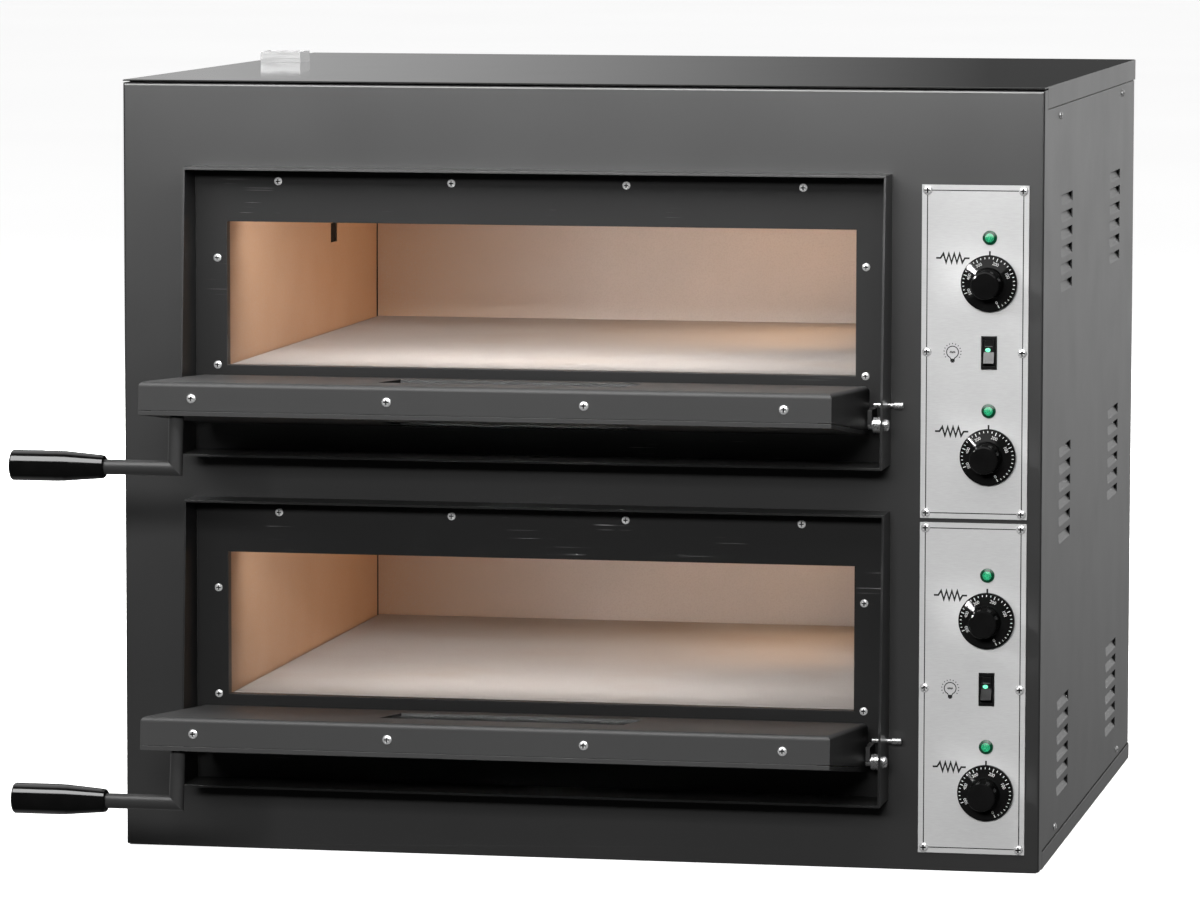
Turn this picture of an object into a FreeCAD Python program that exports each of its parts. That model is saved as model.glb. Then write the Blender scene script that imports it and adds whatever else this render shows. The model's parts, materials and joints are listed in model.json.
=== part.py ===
import FreeCAD, Part
import math
import os

from FreeCAD import Placement, Rotation, Vector

# Double-deck electric pizza oven. Millimetres, +Z up, the front faces -Y, and the origin is at the
# centre of the base's rest face. Both doors are modelled closed, then turned down to the open rest pose.

# Casing
CASE_W = 890.0
CASE_D = 780.0
CASE_H = 742.0
SHEET = 1.5
TRAY_LIP = 16.0
LID_LIP = 21.0
SEAM = 1.0
SIDE_INSET = 1.0
FRONT_RETURN = 25.0
FOLD_R = 2.5

HALF_W = CASE_W / 2
FRONT_Y = -CASE_D / 2
BACK_Y = CASE_D / 2
PANEL_BACK_Y = FRONT_Y + SHEET
LID_UNDER = CASE_H - SHEET
SIDE_OUT_X = HALF_W - SIDE_INSET
SIDE_IN_X = SIDE_OUT_X - SHEET
REAR_OUT_Y = BACK_Y - SIDE_INSET
REAR_IN_Y = REAR_OUT_Y - SHEET
SIDE_Z = (TRAY_LIP + SEAM, CASE_H - LID_LIP - SEAM)

# Inner frame
FRAME_T = 2.0
POST_LEG = 22.0
FRONT_POST_DEPTH = 48.0
RAIL_H = 24.0
RAIL_LOW_Z = 12.0
RAIL_TOP_Z = 700.0
FRAME_X = SIDE_IN_X
FRAME_FRONT_Y = PANEL_BACK_Y
FRAME_BACK_Y = REAR_IN_Y
FRAME_Z = (SHEET, LID_UNDER - SHEET - FOLD_R)
FRAME_CLEAR = FRAME_T + 0.2
LOUVRE_CLEAR = 2.0

# Decks: name, height of the deck above the lower one, how far the open door stays above level in
# degrees, height of the steam slot in the chamber's left wall
DECK_PITCH = 318.5
DECKS = [
    ("lower", 0.0, 4.9, 292.0),
    ("upper", DECK_PITCH, 3.1, 240.5),
]

# Chamber, heights for the lower deck
MID_X = -37.0
MOUTH_W = 610.0
MOUTH_Z = (150.5, 288.5)
MOUTH_CUT = (3.0, 17.0)
COLLAR_DEPTH = 10.0
CHAMBER_W = 614.0
CHAMBER_BACK_Y = 255.0
LINER_Z = (112.0, 314.0)
LINER_T = 1.0
LEDGE_W = 20.0
LEDGE_T = 2.0
STONE_T = 15.0
STONE_GAP = 2.0
STONE_CHAMFER = 1.5
INSULATION_T = 40.0
INSULATION_FLOOR = 28.0
INSULATION_FRONT = 12.0
DIVIDER_Z = 371.0

MOUTH_X = (MID_X - MOUTH_W / 2, MID_X + MOUTH_W / 2)
CHAMBER_X = (MID_X - CHAMBER_W / 2, MID_X + CHAMBER_W / 2)
INSULATION_X = (CHAMBER_X[0] - LINER_T - INSULATION_T, CHAMBER_X[1] + LINER_T + INSULATION_T)
INSULATION_BACK_Y = CHAMBER_BACK_Y + LINER_T + INSULATION_T
WALL_X = INSULATION_X[1] + 2.0
TERMINAL_X = WALL_X + 18.0

# Heating elements, sensing bulbs and lamp
ELEMENT_R = 4.0
ELEMENT_BEND_R = 50.0
ELEMENT_BEND_X = -280.0
ELEMENT_Y = (-266.0, -66.0, 134.0)
ELEMENT_Z = (124.0, 302.0)
BULB_R = 2.0
BULB_Y = 34.0
BULB_TIP_X = 160.0
BULB_OFFSET = 4.0
CAPILLARY_R = 1.0
LAMP_Y = 60.0
LAMP_Z = 235.0
LAMP_R = 28.0
LAMP_NECK_R = 25.0
LAMP_PROUD = 4.0

# Steam duct
VENT_X = (-428.0, -386.0)
VENT_Y = (88.0, 129.0)
VENT_PROUD = 11.0
VENT_T = 1.0
SLOT_Y = (46.0, 74.0)
SLOT_H = 20.0

# Door surround, heights for the lower deck
SURROUND_W = 677.0
SURROUND_Z = (67.0, 341.5)
SURROUND_T = 2.0
SURROUND_TOP_PROUD = 40.0
SURROUND_LOW_PROUD = 58.0
PLATE_GAP = 0.3
SURROUND_X = (MID_X - SURROUND_W / 2, MID_X + SURROUND_W / 2)
AXIS_REACH = 50.0

# Door, closed: heights above the hinge axis, depths in front of the front panel
DOOR_W = 646.0
HINGE_Z = 108.0
HINGE_PROUD = 40.0
DOOR_TOP = 225.0
DOOR_FOOT = -6.0
DOOR_INNER = 4.0
DOOR_TOP_T = 31.0
SHELL_T = 4.0
DOOR_SEAM = 0.5
DOOR_SHEET = 1.5
DOOR_FOLD_R = 5.0
DOOR_DEPTH = 60.0
DOOR_SLOPE = math.atan((SURROUND_LOW_PROUD - SURROUND_TOP_PROUD) / (SURROUND_Z[1] - SURROUND_Z[0]))
DOOR_X = (MID_X - DOOR_W / 2, MID_X + DOOR_W / 2)
WINDOW_W = 232.0
WINDOW_H = (45.0, 140.0)
PANE_LAP = 10.0
PANE_T = 4.0
FRAME_LIP = 1.0
WOOL_GAP = 0.5
WOOL_INSET = 16.0
EDGE_FLANGE = 22.0
EDGE_FLANGE_INSET = 12.0
EDGE_SCREW_PITCH = 184.0
EDGE_SCREW_MID_X = MID_X + 3.5
EDGE_SCREW_DEPTH = 15.0

# Handle
HANDLE_X = -328.7
HANDLE_UP = 205.0
HANDLE_REACH = 48.0
HANDLE_FOOT = 3.0
ROD_R = 7.0
GRIP_X = (-486.5, -395.3)
GRIP_R = 14.3
GRIP_NECK_R = 10.6
ROD_IN_GRIP = 60.0

# Hinge hardware
PIVOT_R = 4.0
RUNNING_GAP = 0.05
PIVOT_HEAD_R = 5.6
PIVOT_HEAD_H = 4.5
SPACER_R = 7.5
SPACER_L = 8.3
PIVOT_PAST_SPACER = 13.7
BOSS_R = 5.5
BOSS_L = 7.0
STUD_R = 2.0
STUD_BACK = 27.0
STUD_UP = 16.5
STUD_INSIDE = 12.0
STUD_NECK = 4.8
STUD_HEAD_R = 2.9
STUD_HEAD_L = 8.9
STUD_HEAD_FILLET = 0.6
STOP_LUG_T = 4.0
STOP_LUG_Y = (-4.0, 29.0)
STOP_LUG_H = 14.3
STOP_CLEARANCE = 0.15

# Controls, heights from the middle of a control plate
PLATE_X = 380.7
PLATE_W = 101.2
PLATE_H = 314.5
PLATE_Z = 174.7
PLATE_T = 1.5
PLATE_SCREW_X = 45.2
PLATE_SCREW_Z = 152.2
PLATE_FRONT_Y = FRONT_Y - PLATE_T
CONTROL_X = 394.5
KNOB_Z = {"ceiling": 65.5, "floor": -98.1}
PILOT_Z = (108.1, -54.9)
CUTOUT = (82.0, 280.0)
KNOB_GAP = 1.0
SKIRT_R = 26.5
SKIRT_H = 6.0
CAP_FOOT_R = 14.6
CAP_TOP_R = 13.3
KNOB_H = 37.0
SPINDLE_R = 3.0
SPINDLE_BACK = 24.0
SPINDLE_FRONT = 28.0
SPINDLE_END_GAP = 0.5
THERMOSTAT = 44.0
THERMOSTAT_T = 28.0
CAPILLARY_TURN = (8.0, 20.0)
NECK_R = 5.0
PILOT_R = 6.8
PILOT_BODY_R = 6.0
PILOT_BACK = 22.0
BEZEL = (15.0, 31.5)
BEZEL_T = 2.0
SWITCH_BODY = (12.8, 27.0)
SWITCH_BODY_T = 20.0
ROCKER = (10.0, 22.0)
ROCKER_WELL = (11.0, 25.0)
ROCKER_WELL_T = 12.0
ROCKER_TILT = 10.0
ROCKER_CENTRE = 4.1
ROCKER_BACK = 2.0
TRUNNION_R = 1.2
TRUNNION_L = 0.9

# Louvres of the side panels
LOUVRE_L = 92.0
LOUVRE_H = 10.0
LOUVRE_DEPTH = 5.0
LOUVRE_T = 1.0
LOUVRE_PITCH = 16.7
LOUVRE_ROWS = 6
LOUVRE_END_R = 14.0
LOUVRE_COLUMNS_Y = (-201.0, 214.0)
LOUVRE_GROUPS_Z = (51.5, 297.0, 540.0)

# Screws: head radius, head height, shank radius, shank length
CASING_SCREW = (3.6, 2.2, 1.9, 8.0)
MOUTH_SCREW = (3.8, 2.0, 2.0, 10.0)
CONTROL_SCREW = (4.4, 2.8, 2.0, 9.0)
DOOR_SCREW = (4.3, 2.8, 2.0, 8.0)
CASING_SCREW_Y = (-260.0, 275.0)
CASING_SCREW_Z = (25.0, 711.0)
BACK_SCREW_X = 431.0
BACK_SCREW_Z = (60.0, 368.0, 680.0)
MOUTH_SCREW_PITCH = 169.5
MOUTH_SCREW_TOP_Z = 327.5
MOUTH_SCREW_SIDE_X = 314.5
MOUTH_SCREW_SIDE_Z = (150.5, 253.5)

# Supply entry
GLAND_X = 380.0
GLAND_Z = 60.0
GLAND_BORE_R = 7.0
GLAND_THREAD_R = 10.0
GLAND_NUT_R = 13.0
GLAND_OUT = 20.0
GLAND_IN = 14.0
GLAND_BODY_L = 7.0
GLAND_CAP = (9.0, 18.0)
GLAND_NUT_L = 5.0

# Terminal block, measured from the back panel's inner face in depth
BLOCK_X = (350.0, 410.0)
BLOCK_Z = (110.0, 150.0)
BLOCK_T = 25.0
BLOCK_RIM = 6.0
BLOCK_WELL_W = 8.0
BLOCK_WELL_T = 10.0
BLOCK_WAYS = 4

EPS = 1e-4


# ---------------------------------------------------------------- shape helpers

def box(x, y, z):
    """Box between (low, high) pairs."""
    return Part.makeBox(x[1] - x[0], y[1] - y[0], z[1] - z[0], Vector(x[0], y[0], z[0]))


def centred(centre, size):
    """(low, high) pair of a size about a centre."""
    return (centre - size / 2, centre + size / 2)


def grown(pair, by):
    return (pair[0] - by, pair[1] + by)


def raised(pair, by):
    return (pair[0] + by, pair[1] + by)


def rod(start, end, radius):
    """Cylinder from one point to another."""
    line = Vector(*end) - Vector(*start)
    return Part.makeCylinder(radius, line.Length, Vector(*start), line)


def prism_x(profile, x):
    """Solid with a (y, z) outline, between two x values."""
    points = [Vector(x[0], y, z) for y, z in profile]
    return Part.Face(Part.makePolygon(points + points[:1])).extrude(Vector(x[1] - x[0], 0, 0))


def turned(profile):
    """Solid of revolution about +Z from (radius, height) points."""
    points = [Vector(r, 0, h) for r, h in profile]
    face = Part.Face(Part.makePolygon(points + points[:1]))
    return face.revolve(Vector(0, 0, 0), Vector(0, 0, 1), 360)


def placed(shape, position, direction):
    """Copy with its +Z turned to a direction and its origin moved to a position."""
    copy = shape.copy()
    copy.Placement = Placement(Vector(*position), Rotation(Vector(0, 0, 1), Vector(*direction)))
    return copy


def joined(shapes):
    return shapes[0].multiFuse(shapes[1:]).removeSplitter()


def edges_where(shape, test):
    return [edge for edge in shape.Edges if test(edge.CenterOfMass)]


def near(a, b):
    return abs(a - b) < EPS


# ---------------------------------------------------------------- screws

def pan_head_screw(kind):
    """Pan-head screw with a cross recess; the head sits on z=0 and the shank points down."""
    head_r, head_h, shank_r, shank_l = kind
    rim = 0.35 * head_h
    crown = Part.Arc(
        Vector(head_r, 0, rim),
        Vector(head_r * 0.72, 0, rim + (head_h - rim) * 0.72),
        Vector(0, 0, head_h),
    ).toShape()
    sides = Part.makePolygon(
        [
            Vector(0, 0, head_h),
            Vector(0, 0, -shank_l),
            Vector(shank_r, 0, -shank_l),
            Vector(shank_r, 0, 0),
            Vector(head_r, 0, 0),
            Vector(head_r, 0, rim),
        ]
    )
    body = Part.Face(Part.Wire([crown] + sides.Edges)).revolve(Vector(0, 0, 0), Vector(0, 0, 1), 360)
    arm = (-head_r * 0.56, head_r * 0.56)
    slot = (-head_r * 0.15, head_r * 0.15)
    depth = (head_h * 0.35, head_h + 1)
    return body.cut(box(arm, slot, depth).fuse(box(slot, arm, depth)))


def screws(kind, places):
    """Screws at (position, direction) places, as separate solids."""
    one = pan_head_screw(kind)
    return [placed(one, position, direction) for position, direction in places]


def shanks(kind, places):
    """Holes that a set of screws needs."""
    one = Part.makeCylinder(kind[2], kind[3] + 1, Vector(0, 0, -kind[3] - 0.5))
    return [placed(one, position, direction) for position, direction in places]


def casing_screw_places():
    places = []
    for side in (-1, 1):
        for y in CASING_SCREW_Y:
            for z in CASING_SCREW_Z:
                places.append(((side * SIDE_OUT_X, y, z), (side, 0, 0)))
        for z in BACK_SCREW_Z:
            places.append(((side * BACK_SCREW_X, REAR_OUT_Y, z), (0, 1, 0)))
    return places


def mouth_screw_places(base):
    top = [(MID_X + step * MOUTH_SCREW_PITCH, MOUTH_SCREW_TOP_Z) for step in (-1.5, -0.5, 0.5, 1.5)]
    sides = [(MID_X + side * MOUTH_SCREW_SIDE_X, z) for side in (-1, 1) for z in MOUTH_SCREW_SIDE_Z]
    return [((x, FRONT_Y - SHEET, base + z), (0, -1, 0)) for x, z in top + sides]


def control_screw_places(base):
    places = []
    for side in (-1, 1):
        for row in (-1, 0, 1):
            z = base + PLATE_Z + row * PLATE_SCREW_Z
            places.append(((PLATE_X + side * PLATE_SCREW_X, PLATE_FRONT_Y, z), (0, -1, 0)))
    return places


def door_screw_places(base):
    z = base + HINGE_Z + DOOR_TOP
    y = FRONT_Y - DOOR_INNER - EDGE_SCREW_DEPTH
    steps = (-1.5, -0.5, 0.5, 1.5)
    return [((EDGE_SCREW_MID_X + step * EDGE_SCREW_PITCH, y, z), (0, 0, 1)) for step in steps]


# ---------------------------------------------------------------- casing

def base_pan():
    floor = box((-HALF_W, HALF_W), (FRONT_Y + FRONT_RETURN + SEAM, BACK_Y), (0, SHEET))
    toe = box((-SIDE_IN_X, SIDE_IN_X), (PANEL_BACK_Y, FRONT_Y + FRONT_RETURN + SEAM), (0, SHEET))
    lips = [
        box((HALF_W - SHEET, HALF_W), (FRONT_Y + FRONT_RETURN + SEAM, BACK_Y), (0, TRAY_LIP)),
        box((-HALF_W, SHEET - HALF_W), (FRONT_Y + FRONT_RETURN + SEAM, BACK_Y), (0, TRAY_LIP)),
        box((-HALF_W, HALF_W), (BACK_Y - SHEET, BACK_Y), (0, TRAY_LIP)),
    ]
    return joined([floor, toe] + lips)


def top_cover():
    top_z = (LID_UNDER, CASE_H)
    lip_z = (CASE_H - LID_LIP, CASE_H)
    side_y = (FRONT_Y + FRONT_RETURN + SEAM, BACK_Y)
    cover = joined(
        [
            box((-HALF_W, HALF_W), (FRONT_Y, BACK_Y), top_z),
            box((HALF_W - SHEET, HALF_W), side_y, lip_z),
            box((-HALF_W, SHEET - HALF_W), side_y, lip_z),
            box((-HALF_W, HALF_W), (BACK_Y - SHEET, BACK_Y), lip_z),
        ]
    )
    rounded = edges_where(cover, lambda p: near(p.z, CASE_H))
    return cover.makeFillet(SHEET * 0.8, rounded).cut(box(VENT_X, VENT_Y, (0, CASE_H + 1)))


def front_sheet(inset, radius):
    """Front panel's outline as a solid, with rounded folds at the sides and top."""
    top = LID_UNDER - SHEET - inset
    solid = box((inset - HALF_W, HALF_W - inset), (FRONT_Y + inset, FRONT_Y + FRONT_RETURN), (SEAM, top))

    def folded(p):
        return near(p.y, FRONT_Y + inset) and (near(abs(p.x), HALF_W - inset) or near(p.z, top))

    return solid.makeFillet(radius, edges_where(solid, folded))


def front_panel():
    panel = front_sheet(0, FOLD_R).cut(front_sheet(SHEET, FOLD_R - SHEET))
    cuts = []
    through = (FRONT_Y - 1, FRONT_Y + SHEET + 1)
    for _, base, _, _ in DECKS:
        mouth_z = grown(raised(MOUTH_Z, base), MOUTH_CUT[1])
        plate_mid = base + PLATE_Z
        cuts.append(box(grown(MOUTH_X, MOUTH_CUT[0]), through, mouth_z))
        cuts.append(box(centred(PLATE_X, CUTOUT[0]), through, centred(plate_mid, CUTOUT[1])))
        cuts += shanks(MOUTH_SCREW, mouth_screw_places(base))
        cuts += shanks(CONTROL_SCREW, control_screw_places(base))
    return panel.cut(cuts)


def louvre_wedge(depth, outline_grow, end_open):
    """Wedge between the right panel's outer face and a louvre blade, its lower edge at z=0, y centred."""
    half = LOUVRE_L / 2
    front = -half - outline_grow
    rear = half + end_open
    radius = LOUVRE_END_R + outline_grow
    low = -outline_grow
    outline = Part.Wire(
        Part.makePolygon(
            [
                Vector(0, front + radius, low),
                Vector(0, rear, low),
                Vector(0, rear, LOUVRE_H),
                Vector(0, front, LOUVRE_H),
            ]
        ).Edges
        + [
            Part.Arc(
                Vector(0, front, LOUVRE_H),
                Vector(0, front + radius * 0.26, low + LOUVRE_H * 0.3),
                Vector(0, front + radius, low),
            ).toShape()
        ]
    )
    slab = Part.Face(outline).extrude(Vector(-LOUVRE_DEPTH - 2 * SHEET, 0, 0))
    far = LOUVRE_L
    blade = Part.makePolygon(
        [Vector(1, -far, -far), Vector(1, -far, far)]
        + [Vector(-depth - depth / LOUVRE_H * (far - LOUVRE_H), -far, far)]
        + [Vector(depth / LOUVRE_H * far, -far, -far), Vector(1, -far, -far)]
    )
    return slab.common(Part.Face(blade).extrude(Vector(0, 2 * far, 0)))


def louvre_tools():
    """The slot that a louvre opens in the panel, and the pressed blade that stays."""
    pocket = louvre_wedge(LOUVRE_DEPTH, 0, 1)
    skin = louvre_wedge(LOUVRE_DEPTH + LOUVRE_T, LOUVRE_T, 0).cut(pocket)
    slot = pocket.common(box((-SHEET, 1), (-LOUVRE_L / 2, LOUVRE_L / 2), (0, LOUVRE_H)))
    return slot, skin


def side_panel(side):
    """Flat side panel with pressed louvres; side is 1 for the right and -1 for the left."""
    panel = box((SIDE_IN_X, SIDE_OUT_X), (FRONT_Y + FRONT_RETURN + SEAM, REAR_OUT_Y), SIDE_Z)
    slot, skin = louvre_tools()
    slots, skins = [], []
    for y in LOUVRE_COLUMNS_Y:
        for group_z in LOUVRE_GROUPS_Z:
            for row in range(LOUVRE_ROWS):
                move = Vector(SIDE_OUT_X, y, group_z + row * LOUVRE_PITCH)
                slots.append(slot.translated(move))
                skins.append(skin.translated(move))
    panel = joined([panel.cut(slots)] + skins)
    if side < 0:
        panel = panel.mirror(Vector(0, 0, 0), Vector(1, 0, 0))
    return panel.cut(shanks(CASING_SCREW, casing_screw_places()))


def back_panel():
    panel = box((-SIDE_IN_X, SIDE_IN_X), (REAR_IN_Y, REAR_OUT_Y), SIDE_Z)
    gland_hole = rod((GLAND_X, REAR_IN_Y - 1, GLAND_Z), (GLAND_X, REAR_OUT_Y + 1, GLAND_Z), GLAND_THREAD_R)
    return panel.cut([gland_hole] + shanks(CASING_SCREW, casing_screw_places()))


def inner_frame():
    """Welded steel frame: four angle posts joined by flat rails at the top and bottom."""
    bars = []
    for side in (-1, 1):
        wall = sorted((side * FRAME_X, side * (FRAME_X - FRAME_T)))
        leg = sorted((side * FRAME_X, side * (FRAME_X - POST_LEG)))
        bars.append(box(wall, (FRAME_FRONT_Y, FRAME_FRONT_Y + FRONT_POST_DEPTH), FRAME_Z))
        bars.append(box(leg, (FRAME_FRONT_Y, FRAME_FRONT_Y + FRAME_T), FRAME_Z))
        bars.append(box(wall, (FRAME_BACK_Y - POST_LEG, FRAME_BACK_Y), FRAME_Z))
        bars.append(box(leg, (FRAME_BACK_Y - FRAME_T, FRAME_BACK_Y), FRAME_Z))
        for z in (RAIL_LOW_Z, RAIL_TOP_Z):
            bars.append(box(wall, (FRAME_FRONT_Y, FRAME_BACK_Y), (z, z + RAIL_H)))
    for z in (RAIL_LOW_Z, RAIL_TOP_Z):
        for y in (FRAME_FRONT_Y, FRAME_BACK_Y - FRAME_T):
            bars.append(box((-FRAME_X, FRAME_X), (y, y + FRAME_T), (z, z + RAIL_H)))
    holes = shanks(CASING_SCREW, casing_screw_places())
    for _, base, _, _ in DECKS:
        holes += shanks(CONTROL_SCREW, control_screw_places(base))
    return joined(bars).cut(holes)


def deck_divider():
    """Shelf between the decks, clear of the frame and of the louvre blades."""
    sheet = box(
        (LOUVRE_DEPTH + LOUVRE_T + LOUVRE_CLEAR - FRAME_X, WALL_X),
        (FRAME_FRONT_Y + FRAME_CLEAR, FRAME_BACK_Y - FRAME_CLEAR),
        (DIVIDER_Z, DIVIDER_Z + SHEET),
    )
    return sheet.cut(box(VENT_X, VENT_Y, (0, CASE_H)))


def compartment_wall():
    wall = box(
        (WALL_X, WALL_X + SHEET),
        (FRAME_FRONT_Y + FRAME_CLEAR, FRAME_BACK_Y - FRAME_CLEAR),
        FRAME_Z,
    )
    return wall.cut(through_right_wall())


def steam_vent():
    """Square tube through the lid, with a branch to each chamber's steam slot."""
    floor_z = DECKS[0][1] + DECKS[0][3] - VENT_T
    outside = [box(VENT_X, VENT_Y, (floor_z, CASE_H + VENT_PROUD))]
    bore_z = (floor_z + VENT_T, CASE_H + VENT_PROUD + 1)
    inside = [box(grown(VENT_X, -VENT_T), grown(VENT_Y, -VENT_T), bore_z)]
    for _, base, _, slot_z in DECKS:
        outside.append(branch_outside(base + slot_z))
        inner_z = (base + slot_z, base + slot_z + SLOT_H)
        inside.append(box((VENT_X[1] - 2 * VENT_T, CHAMBER_X[0]), (SLOT_Y[0], VENT_Y[1] - VENT_T), inner_z))
    return joined(outside).cut(inside)


def branch_outside(slot_z):
    """Outer block of a steam branch, from the vertical tube to the liner's left wall."""
    x = (VENT_X[1] - VENT_T, CHAMBER_X[0] - LINER_T)
    return box(x, (SLOT_Y[0] - VENT_T, VENT_Y[1]), grown((slot_z, slot_z + SLOT_H), VENT_T))


# ---------------------------------------------------------------- chambers

def through_right_wall():
    """Everything that passes from the electrical compartment into the two chambers."""
    passing = []
    start_x = CHAMBER_X[1] - LEDGE_W
    for _, base, _, _ in DECKS:
        for z in ELEMENT_Z:
            for mid_y in ELEMENT_Y:
                for y in (mid_y - ELEMENT_BEND_R, mid_y + ELEMENT_BEND_R):
                    passing.append(rod((start_x, y, base + z), (TERMINAL_X, y, base + z), ELEMENT_R))
            bulb_z = bulb_height(base, z)
            passing.append(rod((start_x, BULB_Y, bulb_z), (TERMINAL_X, BULB_Y, bulb_z), BULB_R))
        passing.append(lamp_neck(base))
    return passing


def bulb_height(base, element_z):
    """A sensing bulb lies beside its elements, a little further from the wall of the liner."""
    middle = sum(ELEMENT_Z) / 2
    return base + element_z + (BULB_OFFSET if element_z < middle else -BULB_OFFSET)


def lamp_neck(base):
    z = base + LAMP_Z
    return rod((CHAMBER_X[1], LAMP_Y, z), (TERMINAL_X, LAMP_Y, z), LAMP_NECK_R)


def liner_outside(base):
    z = grown(raised(LINER_Z, base), LINER_T)
    return box(grown(CHAMBER_X, LINER_T), (PANEL_BACK_Y, CHAMBER_BACK_Y + LINER_T), z)


def stone_top_z(base):
    return base + MOUTH_Z[0]


def chamber_liner(base, slot_z):
    inside = box(CHAMBER_X, (FRONT_Y, CHAMBER_BACK_Y), raised(LINER_Z, base))
    slot = box((CHAMBER_X[0] - 2 * LINER_T, CHAMBER_X[0]), SLOT_Y, (base + slot_z, base + slot_z + SLOT_H))
    shell = liner_outside(base).cut([inside, slot])
    ledge_z = (stone_top_z(base) - STONE_T - LEDGE_T, stone_top_z(base) - STONE_T)
    ledge_y = (PANEL_BACK_Y + COLLAR_DEPTH, CHAMBER_BACK_Y)
    ledges = [
        box((CHAMBER_X[0], CHAMBER_X[0] + LEDGE_W), ledge_y, ledge_z),
        box((CHAMBER_X[1] - LEDGE_W, CHAMBER_X[1]), ledge_y, ledge_z),
    ]
    return joined([shell] + ledges).cut(through_right_wall())


def insulation(base, slot_z):
    z = (base + LINER_Z[0] - LINER_T - INSULATION_FLOOR, base + LINER_Z[1] + LINER_T + INSULATION_FLOOR)
    block = box(INSULATION_X, (FRONT_Y + INSULATION_FRONT, INSULATION_BACK_Y), z)
    return block.cut([liner_outside(base), branch_outside(base + slot_z)] + through_right_wall())


def baking_stone(base):
    top = stone_top_z(base)
    y = (FRONT_Y + COLLAR_DEPTH + STONE_GAP, CHAMBER_BACK_Y - STONE_GAP)
    slab = box(grown(CHAMBER_X, -STONE_GAP), y, (top - STONE_T, top))
    return slab.makeChamfer(STONE_CHAMFER, edges_where(slab, lambda p: near(p.z, top)))


def heating_element(mid_y, z):
    """U-shaped tubular element with both ends in the electrical compartment."""
    legs = [
        rod((ELEMENT_BEND_X, y, z), (TERMINAL_X, y, z), ELEMENT_R)
        for y in (mid_y - ELEMENT_BEND_R, mid_y + ELEMENT_BEND_R)
    ]
    bend = Part.makeTorus(ELEMENT_BEND_R, ELEMENT_R, Vector(0, 0, 0), Vector(0, 0, 1), -180, 180, 180)
    bend.Placement = Placement(Vector(ELEMENT_BEND_X, mid_y, z), Rotation(Vector(0, 0, 1), 90))
    return joined([bend] + legs)


def heating_elements():
    return [
        heating_element(mid_y, base + z)
        for _, base, _, _ in DECKS
        for z in ELEMENT_Z
        for mid_y in ELEMENT_Y
    ]


def oven_lamp(base):
    """Domed lamp glass against the chamber's right wall."""
    glass = Part.makeCylinder(
        LAMP_R, LAMP_PROUD, Vector(CHAMBER_X[1], LAMP_Y, base + LAMP_Z), Vector(-1, 0, 0)
    )
    front_x = CHAMBER_X[1] - LAMP_PROUD
    return glass.makeFillet(LAMP_PROUD * 0.6, edges_where(glass, lambda p: near(p.x, front_x)))


# ---------------------------------------------------------------- mouth and surround

def surround_proud(z, base):
    """How far the surround's front edge stands out of the front panel at a height."""
    share = (z - base - SURROUND_Z[0]) / (SURROUND_Z[1] - SURROUND_Z[0])
    return SURROUND_LOW_PROUD + share * (SURROUND_TOP_PROUD - SURROUND_LOW_PROUD)


def door_surround(base):
    """Four flanges round the door, deeper at the bottom than at the top."""
    low, high = raised(SURROUND_Z, base)
    profile = [
        (FRONT_Y, low),
        (FRONT_Y, high),
        (FRONT_Y - surround_proud(high, base), high),
        (FRONT_Y - surround_proud(low, base), low),
    ]
    well = box(
        grown(SURROUND_X, -SURROUND_T),
        (FRONT_Y - 2 * SURROUND_LOW_PROUD, FRONT_Y + 1),
        grown((low, high), -SURROUND_T),
    )
    wedge = prism_x(profile, SURROUND_X).cut(well)
    return wedge.cut([hinge_line(base, PIVOT_R), stud_line(base, STUD_R)])


def hinge_line(base, radius):
    """Cylinder along the hinge axis, right across the surround."""
    y, z = FRONT_Y - HINGE_PROUD, base + HINGE_Z
    return rod((SURROUND_X[0] - AXIS_REACH, y, z), (SURROUND_X[1] + AXIS_REACH, y, z), radius)


def stud_line(base, radius):
    y, z = FRONT_Y - HINGE_PROUD + STUD_BACK, base + HINGE_Z + STUD_UP
    return rod((SURROUND_X[0] - AXIS_REACH, y, z), (SURROUND_X[1] + AXIS_REACH, y, z), radius)


def mouth_plate(base):
    """Plate around the chamber opening, with a collar folded into the chamber."""
    z = grown(raised(SURROUND_Z, base), -SURROUND_T - PLATE_GAP)
    mouth_z = raised(MOUTH_Z, base)
    plate = box(grown(SURROUND_X, -SURROUND_T - PLATE_GAP), (FRONT_Y - SHEET, FRONT_Y), z)
    collar = box(grown(MOUTH_X, SHEET), (FRONT_Y - SHEET, FRONT_Y + COLLAR_DEPTH), grown(mouth_z, SHEET))
    opening = box(MOUTH_X, (FRONT_Y - 10, FRONT_Y + 2 * COLLAR_DEPTH), mouth_z)
    return joined([plate, collar]).cut([opening] + shanks(MOUTH_SCREW, mouth_screw_places(base)))


# ---------------------------------------------------------------- hinge hardware

def hinge_sides():
    """(direction outward, surround's outer face x) of the left and right hinge."""
    return [(-1, SURROUND_X[0]), (1, SURROUND_X[1])]


def pivot_bolts(base):
    """Domed bolt through each flange of the surround, into the door's boss, with its spacer."""
    y, z = FRONT_Y - HINGE_PROUD, base + HINGE_Z
    solids = []
    for out, face_x in hinge_sides():
        inner_x = face_x - out * SURROUND_T
        head = Part.makeCylinder(PIVOT_HEAD_R, PIVOT_HEAD_H, Vector(face_x, y, z), Vector(out, 0, 0))
        tip_x = face_x + out * PIVOT_HEAD_H
        head = head.makeFillet(PIVOT_HEAD_H * 0.7, edges_where(head, lambda p: near(p.x, tip_x)))
        end_x = inner_x - out * (SPACER_L + PIVOT_PAST_SPACER)
        solids.append(joined([head, rod((face_x, y, z), (end_x, y, z), PIVOT_R)]))
        spacer = rod((inner_x, y, z), (inner_x - out * SPACER_L, y, z), SPACER_R)
        solids.append(spacer.cut(hinge_line(base, PIVOT_R)))
    return solids


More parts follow.
